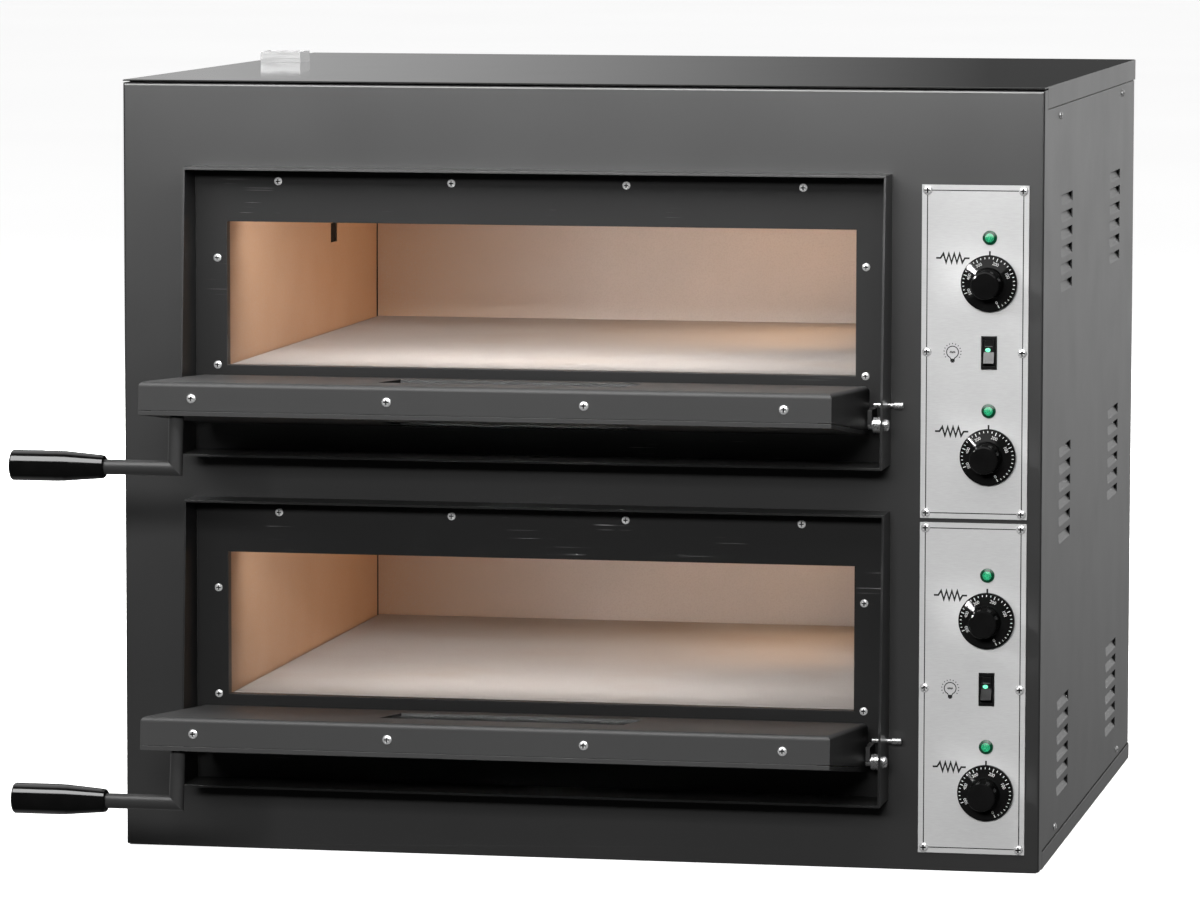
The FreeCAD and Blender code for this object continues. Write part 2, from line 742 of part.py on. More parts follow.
def stop_studs(base):
    """Headed stud through each flange; the open door's stop lug rests on its underside."""
    y, z = FRONT_Y - HINGE_PROUD + STUD_BACK, base + HINGE_Z + STUD_UP
    studs = []
    for out, face_x in hinge_sides():
        head_x = face_x + out * STUD_NECK
        head = Part.makeCylinder(STUD_HEAD_R, STUD_HEAD_L, Vector(head_x, y, z), Vector(out, 0, 0))
        rims = edges_where(head, lambda p: near(p.y, y) and near(p.z, z))
        head = head.makeFillet(STUD_HEAD_FILLET, rims)
        inner_x = face_x - out * (SURROUND_T + STUD_INSIDE)
        studs.append(joined([head, rod((inner_x, y, z), (head_x, y, z), STUD_R)]))
    return studs


# ---------------------------------------------------------------- door

def door_front_y(up, cover):
    """y of the closed door's front at a height above the hinge, less a cover thickness."""
    proud = DOOR_INNER + DOOR_TOP_T + (DOOR_TOP - up) * math.tan(DOOR_SLOPE)
    return FRONT_Y - proud + cover / math.cos(DOOR_SLOPE)


def door_block(base, inner, cover, inset, open_by=0.0):
    """Wedge of the door's length: inner and cover are taken off the faces, inset off the other edges."""
    low, high = DOOR_FOOT + inset, DOOR_TOP - inset
    back_y = FRONT_Y - DOOR_INNER - inner
    zero = base + HINGE_Z
    profile = [
        (back_y, zero + low),
        (back_y, zero + high),
        (door_front_y(high, cover) - open_by, zero + high),
        (door_front_y(low, cover) - open_by, zero + low),
    ]
    return prism_x(profile, grown(DOOR_X, -inset))


def rounded_inner(block, inner, radius):
    """Round the edges of a door block's inner face."""
    face_y = FRONT_Y - DOOR_INNER - inner
    return block.makeFillet(radius, edges_where(block, lambda p: near(p.y, face_y)))


def window_block(base, lap):
    """Block through the door, as wide as the window and its lap."""
    zero = base + HINGE_Z
    y = grown((FRONT_Y, FRONT_Y), DOOR_DEPTH)
    return box(grown(centred(MID_X, WINDOW_W), lap), y, grown(raised(WINDOW_H, zero), lap))


def stop_lug(base, out, tilt):
    """Lug on the door's end that meets the stud when the door is open."""
    door_x = MID_X + out * DOOR_W / 2
    x = sorted((door_x - out * DOOR_SHEET, door_x + out * STOP_LUG_T))
    z = base + HINGE_Z
    lug = box(x, raised(STOP_LUG_Y, FRONT_Y - HINGE_PROUD), (z, z + STOP_LUG_H))
    lug = lug.cut(stud_line(base, STUD_R + STOP_CLEARANCE))
    return turned_about_hinge(lug, base, tilt - 90.0)


def door_inner_panel(base, tilt):
    """Folded pan of the door, with pivot bosses, stop lugs and the window opening."""
    shell_cover = SHELL_T + DOOR_SEAM
    pan = rounded_inner(door_block(base, 0, shell_cover, 0), 0, DOOR_FOLD_R)
    hollow = door_block(base, DOOR_SHEET, shell_cover, DOOR_SHEET, open_by=20.0)
    pan = pan.cut(rounded_inner(hollow, DOOR_SHEET, DOOR_FOLD_R - DOOR_SHEET))
    y, z = FRONT_Y - HINGE_PROUD, base + HINGE_Z
    extras = []
    for out in (-1, 1):
        wall_x = MID_X + out * (DOOR_W / 2 - DOOR_SHEET)
        extras.append(rod((wall_x, y, z), (wall_x - out * BOSS_L, y, z), BOSS_R))
        extras.append(stop_lug(base, out, tilt))
    pan = joined([pan] + extras)
    holes = shanks(DOOR_SCREW, door_screw_places(base))
    return pan.cut([window_block(base, 0), hinge_line(base, PIVOT_R + RUNNING_GAP)] + holes)


def door_outer_shell(base):
    """Shallow tray that closes the door's front, with a flange behind the free edge for the screws."""
    cover_back = door_block(base, 0, SHELL_T, 0)
    tray = door_block(base, 0, 0, 0).cut(cover_back)
    tray = tray.cut(door_block(base, 0, DOOR_SHEET, DOOR_SHEET))
    zero = base + HINGE_Z
    high = DOOR_TOP - DOOR_SHEET
    front_y = door_front_y(high, DOOR_SHEET)
    flange = box(
        grown(DOOR_X, -EDGE_FLANGE_INSET),
        (front_y - DOOR_SEAM, front_y + EDGE_FLANGE),
        (zero + high - DOOR_SHEET, zero + high),
    )
    shell = joined([tray, flange])
    handle_foot = rod(*handle_line(base), ROD_R)
    holes = shanks(DOOR_SCREW, door_screw_places(base))
    return shell.cut([window_block(base, 0), handle_foot] + holes)


def inner_pane(base):
    zero = base + HINGE_Z
    y = FRONT_Y - DOOR_INNER - DOOR_SHEET
    window = grown(centred(MID_X, WINDOW_W), PANE_LAP)
    return box(window, (y - PANE_T, y), grown(raised(WINDOW_H, zero), PANE_LAP))


def outer_pane(base):
    slab = door_block(base, 0, DOOR_SHEET, 0).cut(door_block(base, 0, DOOR_SHEET + PANE_T, 0))
    return slab.common(window_block(base, PANE_LAP))


def window_frame(base):
    """Box-section frame that holds the two panes apart."""
    core = door_block(base, DOOR_SHEET + PANE_T, DOOR_SHEET + PANE_T, 0)
    return core.common(window_block(base, PANE_LAP)).cut(window_block(base, FRAME_LIP))


def door_insulation(base):
    block = door_block(base, DOOR_SHEET + WOOL_GAP, SHELL_T, WOOL_INSET)
    handle_foot = rod(*handle_line(base), ROD_R + WOOL_GAP)
    return block.cut([window_block(base, PANE_LAP + WOOL_GAP), handle_foot])


def handle_line(base):
    """Start inside the shell and end at the bend of the handle's first leg, square to the front face."""
    zero = base + HINGE_Z
    front_y = door_front_y(HANDLE_UP, 0)
    out_y, out_z = -math.cos(DOOR_SLOPE), math.sin(DOOR_SLOPE)
    foot = (HANDLE_X, front_y - out_y * HANDLE_FOOT, zero + HANDLE_UP - out_z * HANDLE_FOOT)
    bend = (HANDLE_X, front_y + out_y * HANDLE_REACH, zero + HANDLE_UP + out_z * HANDLE_REACH)
    return foot, bend


def handle_rod(base):
    """Round bar with a mitred corner: out of the door, then sideways into the grip."""
    foot, bend = (Vector(*point) for point in handle_line(base))
    end = Vector(GRIP_X[1] - ROD_IN_GRIP, bend.y, bend.z)
    path = Part.Wire([Part.makeLine(foot, bend), Part.makeLine(bend, end)])
    ring = Part.Wire([Part.makeCircle(ROD_R, foot, bend - foot)])
    right_corner = 1
    return path.makePipeShell([ring], True, False, right_corner)


def handle_grip(base):
    """Tapered grip with a crowned end, pushed on to the bar."""
    _, bend = handle_line(base)
    length = GRIP_X[1] - GRIP_X[0]
    straight = 0.42 * length
    profile = [
        (0, 0),
        (GRIP_NECK_R - 1.2, 0),
        (GRIP_NECK_R, 1.2),
        (GRIP_NECK_R + 0.5, 4.0),
        (GRIP_R - 0.3, straight),
        (GRIP_R, straight + 8.0),
        (GRIP_R, length - 3.5),
        (GRIP_R - 0.9, length - 2.2),
        (GRIP_R * 0.6, length - 0.6),
        (0, length),
    ]
    grip = turned(profile).cut(Part.makeCylinder(ROD_R, ROD_IN_GRIP))
    return placed(grip, (GRIP_X[1], bend[1], bend[2]), (-1, 0, 0))


def turned_about_hinge(shape, base, degrees):
    """Turn a shape about a deck's hinge axis; a positive turn opens the door."""
    copy = shape.copy()
    copy.rotate(Vector(0, FRONT_Y - HINGE_PROUD, base + HINGE_Z), Vector(1, 0, 0), degrees)
    return copy


def door_pieces(deck, base, tilt):
    """All the pieces of a door, in its open rest pose, by node name."""
    closed = {
        "door_inner_panel": door_inner_panel(base, tilt),
        "door_outer_shell": door_outer_shell(base),
        "door_glass": Part.makeCompound([inner_pane(base), outer_pane(base)]),
        "window_frame": window_frame(base),
        "door_insulation": door_insulation(base),
        "door_screws": Part.makeCompound(screws(DOOR_SCREW, door_screw_places(base))),
        "handle_rod": handle_rod(base),
        "handle_grip": handle_grip(base),
    }
    return {
        name + "_" + deck: turned_about_hinge(shape, base, 90.0 - tilt) for name, shape in closed.items()
    }


# ---------------------------------------------------------------- controls

def control_plate(base):
    middle = base + PLATE_Z
    plate = box(centred(PLATE_X, PLATE_W), (PLATE_FRONT_Y, FRONT_Y), centred(middle, PLATE_H))
    through = (PLATE_FRONT_Y - 1, FRONT_Y + 1)
    cuts = [box(centred(CONTROL_X, SWITCH_BODY[0]), through, centred(middle, SWITCH_BODY[1]))]
    rounds = [(z, NECK_R) for z in KNOB_Z.values()] + [(z, PILOT_BODY_R) for z in PILOT_Z]
    for z, radius in rounds:
        cuts.append(rod((CONTROL_X, through[0], middle + z), (CONTROL_X, through[1], middle + z), radius))
    return plate.cut(cuts + shanks(CONTROL_SCREW, control_screw_places(base)))


def pilot_lamp():
    """Indicator lamp along +Z with its flange on z=0."""
    return turned(
        [(0, -PILOT_BACK), (PILOT_BODY_R, -PILOT_BACK), (PILOT_BODY_R, 0), (PILOT_R, 0), (PILOT_R, 1.4)]
        + [(PILOT_R - 0.8, 2.0), (4.2, 3.4), (2.2, 4.2), (0, 4.4)]
    )


def pilot_lamps():
    return [
        placed(pilot_lamp(), (CONTROL_X, PLATE_FRONT_Y, base + PLATE_Z + z), (0, -1, 0))
        for _, base, _, _ in DECKS
        for z in PILOT_Z
    ]


def dial_knob():
    """Knob with a dished dial skirt, along +Z; z=0 is the control plate."""
    skirt_top = KNOB_GAP + SKIRT_H
    return turned(
        [(SPINDLE_R, KNOB_GAP), (SKIRT_R - 0.8, KNOB_GAP), (SKIRT_R, KNOB_GAP + 0.8)]
        + [(SKIRT_R, skirt_top - 1.0), (SKIRT_R - 1.0, skirt_top)]
        + [(CAP_FOOT_R + 0.8, skirt_top + 4.0), (CAP_FOOT_R, skirt_top + 5.0)]
        + [(CAP_TOP_R, KNOB_H - 1.6), (CAP_TOP_R - 0.6, KNOB_H - 0.5), (CAP_TOP_R - 1.8, KNOB_H)]
        + [(0, KNOB_H), (0, SPINDLE_FRONT), (SPINDLE_R, SPINDLE_FRONT)]
    )


def spindle():
    return Part.makeCylinder(SPINDLE_R, SPINDLE_BACK + SPINDLE_FRONT, Vector(0, 0, -SPINDLE_BACK))


def thermostat(base, knob_z, element_z):
    """Thermostat case with its neck, capillary tube and sensing bulb, as one piece."""
    z = base + PLATE_Z + knob_z
    case_back = FRONT_Y + THERMOSTAT_T
    bulb_z = bulb_height(base, element_z)
    turn_x = TERMINAL_X + CAPILLARY_TURN[0]
    turn_y = case_back + CAPILLARY_TURN[1]
    route = [
        (TERMINAL_X - 1, BULB_Y, bulb_z),
        (turn_x, BULB_Y, bulb_z),
        (turn_x, turn_y, bulb_z),
        (turn_x, turn_y, z),
        (CONTROL_X, turn_y, z),
        (CONTROL_X, case_back - 1, z),
    ]
    parts = [
        box(centred(CONTROL_X, THERMOSTAT), (FRONT_Y, case_back), centred(z, THERMOSTAT)),
        rod((CONTROL_X, PLATE_FRONT_Y, z), (CONTROL_X, FRONT_Y + 1, z), NECK_R),
        rod((BULB_TIP_X, BULB_Y, bulb_z), (TERMINAL_X, BULB_Y, bulb_z), BULB_R),
    ]
    parts += [rod(start, end, CAPILLARY_R) for start, end in zip(route, route[1:])]
    parts += [Part.makeSphere(CAPILLARY_R, Vector(*corner)) for corner in route[1:-1]]
    bore_end = PLATE_FRONT_Y + SPINDLE_BACK + SPINDLE_END_GAP
    bore = rod((CONTROL_X, PLATE_FRONT_Y - 1, z), (CONTROL_X, bore_end, z), SPINDLE_R + RUNNING_GAP)
    return joined(parts).cut(bore)


def thermostats():
    return [
        thermostat(base, KNOB_Z[name], element_z)
        for _, base, _, _ in DECKS
        for name, element_z in (("floor", ELEMENT_Z[0]), ("ceiling", ELEMENT_Z[1]))
    ]


def rocker_axis(base):
    """y and z of a rocker's trunnions."""
    return PLATE_FRONT_Y - BEZEL_T + ROCKER_CENTRE, base + PLATE_Z


def trunnions(base, radius, gap):
    y, z = rocker_axis(base)
    reach = ROCKER[0] / 2 + TRUNNION_L + gap
    return rod((CONTROL_X - reach, y, z), (CONTROL_X + reach, y, z), radius)


def switch_housing(base):
    z = base + PLATE_Z
    bezel_front = PLATE_FRONT_Y - BEZEL_T
    bezel = box(centred(CONTROL_X, BEZEL[0]), (bezel_front, PLATE_FRONT_Y), centred(z, BEZEL[1]))
    bezel = bezel.makeFillet(0.6, edges_where(bezel, lambda p: near(p.y, bezel_front)))
    body_y = (PLATE_FRONT_Y, PLATE_FRONT_Y + SWITCH_BODY_T)
    body = box(centred(CONTROL_X, SWITCH_BODY[0]), body_y, centred(z, SWITCH_BODY[1]))
    well_y = (bezel_front - 1, bezel_front + ROCKER_WELL_T)
    well = box(centred(CONTROL_X, ROCKER_WELL[0]), well_y, centred(z, ROCKER_WELL[1]))
    return joined([bezel, body]).cut([well, trunnions(base, TRUNNION_R + RUNNING_GAP, RUNNING_GAP)])


def rocker(base):
    """Concave rocker that lies in its lit position, its upper half pressed flush."""
    y, z = rocker_axis(base)
    half = ROCKER[1] / 2
    rise = half * math.tan(math.radians(ROCKER_TILT))
    profile = [
        (y + ROCKER_BACK, z - half),
        (y - ROCKER_CENTRE - rise, z - half),
        (y - ROCKER_CENTRE, z),
        (y - ROCKER_CENTRE - rise, z + half),
        (y + ROCKER_BACK, z + half),
    ]
    paddle = prism_x(profile, centred(CONTROL_X, ROCKER[0]))
    whole = joined([paddle, trunnions(base, TRUNNION_R, 0)])
    whole.rotate(Vector(0, y, z), Vector(1, 0, 0), -ROCKER_TILT)
    return whole


def control_pieces(deck, base):
    """Moving controls of a deck, by node name."""
    pieces = {"rocker_" + deck: rocker(base)}
    for name, z in KNOB_Z.items():
        centre = (CONTROL_X, PLATE_FRONT_Y, base + PLATE_Z + z)
        pieces["knob_" + name + "_" + deck] = placed(dial_knob(), centre, (0, -1, 0))
        pieces["spindle_" + name + "_" + deck] = placed(spindle(), centre, (0, -1, 0))
    return pieces


# ---------------------------------------------------------------- supply entry

def cable_gland():
    """Gland body and lock nut on the back panel, open right through."""
    here = (GLAND_X, GLAND_Z)
    thread_y = (REAR_IN_Y - GLAND_IN, REAR_OUT_Y + GLAND_OUT)
    body = [rod((here[0], thread_y[0], here[1]), (here[0], thread_y[1], here[1]), GLAND_THREAD_R)]
    body.append(hexagon(here, (REAR_OUT_Y, REAR_OUT_Y + GLAND_BODY_L)))
    body.append(hexagon(here, raised(GLAND_CAP, REAR_OUT_Y)))
    nut = hexagon(here, (REAR_IN_Y - GLAND_NUT_L, REAR_IN_Y))
    bore = rod((here[0], thread_y[0] - 1, here[1]), (here[0], thread_y[1] + 1, here[1]), GLAND_BORE_R)
    return joined(body + [nut]).cut(bore)


def hexagon(centre, y):
    """Hexagonal prism along Y about an (x, z) centre."""
    points = []
    for corner in range(7):
        angle = math.radians(60 * corner)
        x = centre[0] + GLAND_NUT_R * math.cos(angle)
        z = centre[1] + GLAND_NUT_R * math.sin(angle)
        points.append(Vector(x, y[0], z))
    return Part.Face(Part.makePolygon(points)).extrude(Vector(0, y[1] - y[0], 0))


def terminal_block():
    """Row of terminals on the inside of the back panel."""
    block = box(BLOCK_X, (REAR_IN_Y - BLOCK_T, REAR_IN_Y), BLOCK_Z)
    pitch = (BLOCK_X[1] - BLOCK_X[0]) / BLOCK_WAYS
    well_y = (REAR_IN_Y - BLOCK_T - 1, REAR_IN_Y - BLOCK_T + BLOCK_WELL_T)
    wells = []
    for way in range(BLOCK_WAYS):
        well_x = centred(BLOCK_X[0] + (way + 0.5) * pitch, BLOCK_WELL_W)
        wells.append(box(well_x, well_y, grown(BLOCK_Z, -BLOCK_RIM)))
    return block.cut(wells)


# ---------------------------------------------------------------- the whole oven

def build():
    nodes = {
        "base_pan": base_pan(),
        "front_panel": front_panel(),
        "top_cover": top_cover(),
        "side_panel_left": side_panel(-1),
        "side_panel_right": side_panel(1),
        "back_panel": back_panel(),
        "inner_frame": inner_frame(),
        "deck_divider": deck_divider(),
        "compartment_wall": compartment_wall(),
        "steam_vent": steam_vent(),
        "terminal_block": terminal_block(),
        "cable_gland": cable_gland(),
    }
    groups = {
        "casing_screws": screws(CASING_SCREW, casing_screw_places()),
        "heating_elements": heating_elements(),
        "thermostats": thermostats(),
        "pilot_lamps": pilot_lamps(),
        "mouth_screws": [],
        "control_screws": [],
        "pivot_bolts": [],
        "stop_studs": [],
        "chamber_insulation": [],
        "lamp_glasses": [],
        "lamp_holders": [],
        "switch_housings": [],
    }
    for deck, base, tilt, slot_z in DECKS:
        nodes["mouth_plate_" + deck] = mouth_plate(base)
        nodes["door_surround_" + deck] = door_surround(base)
        nodes["chamber_liner_" + deck] = chamber_liner(base, slot_z)
        nodes["baking_stone_" + deck] = baking_stone(base)
        nodes["control_plate_" + deck] = control_plate(base)
        nodes.update(door_pieces(deck, base, tilt))
        nodes.update(control_pieces(deck, base))
        groups["mouth_screws"] += screws(MOUTH_SCREW, mouth_screw_places(base))
        groups["control_screws"] += screws(CONTROL_SCREW, control_screw_places(base))
        groups["pivot_bolts"] += pivot_bolts(base)
        groups["stop_studs"] += stop_studs(base)
        groups["chamber_insulation"].append(insulation(base, slot_z))
        groups["lamp_glasses"].append(oven_lamp(base))
        groups["lamp_holders"].append(lamp_neck(base))
        groups["switch_housings"].append(switch_housing(base))
    for name, solids in groups.items():
        nodes[name] = Part.makeCompound(solids)
    return nodes


os.makedirs("parts", exist_ok=True)
for node, shape in build().items():
    shape.exportStep("parts/" + node + ".step")
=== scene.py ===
import json
import math

import bpy
from mathutils import Matrix, Vector


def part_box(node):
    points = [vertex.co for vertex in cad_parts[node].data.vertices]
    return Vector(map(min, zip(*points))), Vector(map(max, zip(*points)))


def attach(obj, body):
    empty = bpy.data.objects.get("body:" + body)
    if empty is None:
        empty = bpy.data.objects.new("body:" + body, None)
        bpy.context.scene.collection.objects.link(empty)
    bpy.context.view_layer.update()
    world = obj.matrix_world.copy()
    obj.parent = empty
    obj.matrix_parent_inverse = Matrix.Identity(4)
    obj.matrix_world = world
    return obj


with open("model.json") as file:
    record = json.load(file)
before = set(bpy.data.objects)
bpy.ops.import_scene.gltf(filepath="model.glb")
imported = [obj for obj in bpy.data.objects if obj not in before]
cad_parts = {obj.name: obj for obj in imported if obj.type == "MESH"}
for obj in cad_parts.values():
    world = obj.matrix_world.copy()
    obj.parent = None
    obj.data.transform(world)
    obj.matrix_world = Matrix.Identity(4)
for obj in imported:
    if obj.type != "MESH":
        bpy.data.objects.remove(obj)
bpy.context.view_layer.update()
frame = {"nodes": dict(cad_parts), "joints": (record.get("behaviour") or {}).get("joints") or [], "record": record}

# Double-deck countertop pizza oven: finishes, printed marks, lamps, studio and camera. Metres.

MM = 0.001
DECKS = ("lower", "upper")
NODES = frame["nodes"]
JOINTS = {joint["name"]: joint for joint in frame["joints"]}

# Dial: skirt cone as (radius, height above the plate) at its rim and at the cap's foot, numbers with
# their clockwise angle from the top in the rest pose, and the intervals up to the next number
SKIRT_RIM = (25.5 * MM, 7.0 * MM)
SKIRT_FOOT = (15.4 * MM, 11.0 * MM)
DIAL = [("0", 156.0, 10), ("100", 66.0, 5), ("200", 20.0, 5), ("300", -28.0, 5), ("400", -71.0, 5),
        ("500", -113.5, 0)]
NUMBER_R = 19.3 * MM
NUMBER_SIZE = 4.1 * MM
TICK_R = 24.9 * MM
TICK_LONG = 3.0 * MM
TICK_SHORT = 1.7 * MM
TICK_W = 0.75 * MM
INK_LIFT = 0.04 * MM

# Rocker: how far its face stands in front of the pivot, then its light and its line, from the pivot
ROCKER_FACE = 4.04 * MM
LENS_X = -0.9 * MM
LENS_Z = 2.6 * MM
LENS_HALF = (2.6 * MM, 2.0 * MM)
LENS_PROUD = 0.35 * MM
LINE_Z = 6.0 * MM
LINE_HALF = 3.6 * MM
LINE_W = 0.4 * MM

# Printing on a control plate, from its middle: x to the right, z up
FRAME_INSET = 5.2 * MM
FRAME_LINE = 0.9 * MM
SYMBOL_X = -21.1 * MM
SYMBOL_Z = (88.5 * MM, -74.8 * MM)
SYMBOL_LINE = 1.7 * MM
ZIGZAG_HALF = 10.2 * MM
ZIGZAG_HEIGHT = 4.2 * MM
ZIGZAG_LEADS = (1.4 * MM, 1.2 * MM)
RESISTOR_HALF = 15.8 * MM
BULB_SHIFT = 0.3 * MM
BULB_R = 5.6 * MM
BULB_GAP_DEGREES = 68
BULB_LINE = SYMBOL_LINE * 0.50
BULB_RAY_R = (7.5 * MM, 8.6 * MM)
CAP_PITCH = 0.95 * MM
COIL_PITCH = 0.65 * MM
COIL_HEIGHT = 0.7 * MM
INDEX_R = (24.0 * MM, 30.0 * MM)
INDEX_W = 1.7 * MM

# Chamber: liner sheet, its corner seams, and the steam slot in its left wall with painted shade behind it
LINER_T = 1.0 * MM
SEAM_W = 1.3 * MM
SLOT_Y = (46.0 * MM, 74.0 * MM)
SLOT_H = 20.0 * MM
SLOT_UP = {"lower": 181.0 * MM, "upper": 129.5 * MM}

# Where across the chamber the painted warm lamp light on the liner is full and where it has faded
PAINTED_LAMP_LIGHT_X = (-0.345, -0.10)

# Screw heads: points within the reach belong to one screw. A cross of painted shade marks each recess:
# its arm is a share of the head's radius, its width a share of the arm
SCREW_REACH = 12.0 * MM
RECESS_ARM = 0.60
RECESS_WIDTH = 0.62
RECESS_SINK = 0.25 * MM

# Paint: tone that worn edges add, and the painted shade on the doors' ends, as a share of the tone and a specular
# level
EDGE_WEAR = 0.08
END_PAINTED_SHADE = 0.35
END_GLOSS = 0.01

# Lights: watts, degrees of spread and linear colours
KEY_WATTS = 108
FRONT_WATTS = 1000
GLINT_WATTS = 0.08
GLINT_SPREAD = 11
GLINT_FROM = Vector((-0.2275, -0.2345, 0.1295))
OVERHEAD_WATTS = 60
RIGHT_FILL_WATTS = 350
LEFT_FILL_WATTS = 400
LAMP_WATTS = 0.56
LAMP_COLOR = (1.0, 0.60, 0.32)
LAMP_SPREAD = 100
FILL_WATTS = 1.25
FILL_COLOR = (1.0, 0.95, 0.92)
FILL_SPREAD = 170
LOWER_SHARE = 0.75

# Chamber lights: the lamp's gap to its glass and rise, and the fill's place from the liner's middle,
# front edge and roof, then how far before the back wall and below the middle the fill is aimed
LAMP_GAP = 4.0 * MM
LAMP_RISE = 20.0 * MM
FILL_X = -20.0 * MM
FILL_IN = 30.0 * MM
FILL_DROP = 18.0 * MM
FILL_AIM = (100.0 * MM, 40.0 * MM)

# Surroundings that the glossy sheets mirror: tones, and the fades between them along the direction's
# x, y and z, each as where it starts and where it ends
SKY_FRONT = 0.03
SKY_LEFT = 0.47
SKY_RIGHT = 0.06
BAND_HIGH = 1.15
BAND_LOW = 0.25
FRONT_FADE_Y = (-0.1, 0.2)
LEFT_FADE_X = (-0.25, -0.13)
BAND_LEFT_X = (-0.02, 0.06)
BAND_RIGHT_X = (0.62, 0.42)
BAND_TOP_Z = (0.35, 0.15)
BAND_FADE_Z = (-0.16, -0.03)

# Floor, and a backdrop as high as it is far from the middle
FLOOR_GLOW = 0.95
FLOOR_HALF = 120.0
FLOOR_DROP = 0.4 * MM
WALL_AWAY = 45.0


# ---------------------------------------------------------------- meshes

def new_piece(name, verts, faces, body, material):
    """Mesh object that rides on a body and wears one material."""
    mesh = bpy.data.meshes.new(name)
    mesh.from_pydata([tuple(v) for v in verts], [], faces)
    mesh.validate()
    mesh.update()
    mesh.materials.append(material)
    piece = bpy.data.objects.new(name, mesh)
    bpy.context.scene.collection.objects.link(piece)
    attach(piece, body)
    return piece


def ribbon(points, width, closed=False):
    """Flat line of a width along 2-D points, with mitred corners, as (points, faces)."""
    count = len(points)
    left, right = [], []
    for i in range(count):
        here = Vector(points[i])
        before = Vector(points[i - 1]) if i or closed else None
        after = Vector(points[(i + 1) % count]) if i < count - 1 or closed else None
        into = (here - before).normalized() if before is not None else (after - here).normalized()
        out = (after - here).normalized() if after is not None else into
        normal = Vector((-(into.y + out.y), into.x + out.x)).normalized()
        reach = width / 2 / max(normal.dot(Vector((-into.y, into.x))), 0.35)
        left.append(here + normal * reach)
        right.append(here - normal * reach)
    last = count if closed else count - 1
    faces = [(i, (i + 1) % count, (i + 1) % count + count, i + count) for i in range(last)]
    return left + right, faces


def gather(shapes):
    """Several (points, faces) as one."""
    points, faces = [], []
    for shape_points, shape_faces in shapes:
        base = len(points)
        points += shape_points
        faces += [tuple(index + base for index in face) for face in shape_faces]
    return points, faces


def moved(shape, x, z):
    """Shape shifted across and up."""
    return [Vector((p[0] + x, p[1] + z)) for p in shape[0]], shape[1]


def arc(radius, start, end, steps):
    """Points on a circle, angles in degrees from +x."""
    angles = [math.radians(start + (end - start) * i / steps) for i in range(steps + 1)]
    return [Vector((radius * math.cos(a), radius * math.sin(a))) for a in angles]


def lettering(text, size):
    """Filled outline of a short text about its own centre, as (points, faces)."""
    curve = bpy.data.curves.new("lettering", "FONT")
    curve.body = text
    curve.size = size
    curve.align_x = "CENTER"
    curve.align_y = "CENTER"
    holder = bpy.data.objects.new("lettering", curve)
    bpy.context.scene.collection.objects.link(holder)
    mesh = bpy.data.meshes.new_from_object(holder)
    shape = ([Vector((v.co.x, v.co.y)) for v in mesh.vertices], [tuple(p.vertices) for p in mesh.polygons])
    bpy.data.objects.remove(holder)
    bpy.data.curves.remove(curve)
    bpy.data.meshes.remove(mesh)
    return shape


# ---------------------------------------------------------------- materials

def feed(tree, socket, value):
    """Link a socket to another's output, or set its value."""
    if isinstance(value, bpy.types.NodeSocket):
        tree.links.new(value, socket)
    else:
        socket.default_value = value


def node(tree, kind, inputs=None, **settings):
    """New shader node with its inputs fed."""
    made = tree.nodes.new("ShaderNode" + kind)
    for key, value in settings.items():
        setattr(made, key, value)
    for key, value in (inputs or {}).items():
        feed(tree, made.inputs[key], value)
    return made


def dress(tree, shader, **sources):
    """Feed the shader's sockets, named with underscores for spaces."""
    for key, value in sources.items():
        feed(tree, shader.inputs[key.replace("_", " ")], value)


def start(name, **sockets):
    """New material with its tree, shader and the object's own coordinates."""
    mat = bpy.data.materials.new(name)
    mat.use_nodes = True
    tree = mat.node_tree
    shader = tree.nodes["Principled BSDF"]
    dress(tree, shader, **sockets)
    place = node(tree, "TexCoord").outputs["Object"]
    return mat, tree, shader, place


def noise(tree, place, scale, detail=2.0, stretch=None):
    """Noise value; scale is per metre, stretch multiplies it by axis."""
    if stretch:
        place = node(tree, "Mapping", {"Vector": place, "Scale": stretch}).outputs["Vector"]
    return node(tree, "TexNoise", {"Vector": place, "Scale": scale, "Detail": detail}).outputs["Fac"]


def ranged(tree, value, low, high, to_low=0.0, to_high=1.0):
    """Value mapped from one range to another, clamped."""
    inputs = {"Value": value, "From Min": low, "From Max": high, "To Min": to_low, "To Max": to_high}
    return node(tree, "MapRange", inputs).outputs["Result"]


def blended(tree, share, first, second):
    """Colour mix."""
    return node(tree, "Mix", {0: share, 6: first, 7: second}, data_type="RGBA").outputs[2]


def maths(tree, operation, first, second):
    """Result of a sum, difference or product."""
    return node(tree, "Math", {0: first, 1: second}, operation=operation).outputs[0]


def facing(tree, axis):
    """How squarely the surface faces along an axis of its own object, from -1 to 1."""
    normal = node(tree, "TexCoord").outputs["Normal"]
    return node(tree, "SeparateXYZ", {"Vector": normal}).outputs[axis]


def grey(level, warm=0.0):
    """Linear grey, tinted towards orange by warm."""
    return (level * (1 + warm), level, level * (1 - warm), 1.0)


def soft_edges(tree, radius):
    """Normal with rounded edges, and how near an edge is, from 0 to 1."""
    bevel = node(tree, "Bevel", {"Radius": radius}, samples=4).outputs["Normal"]
    flat = node(tree, "NewGeometry").outputs["True Normal"]
    dot = node(tree, "VectorMath", {0: bevel, 1: flat}, operation="DOT_PRODUCT").outputs["Value"]
    return bevel, ranged(tree, dot, 0.995, 0.85)


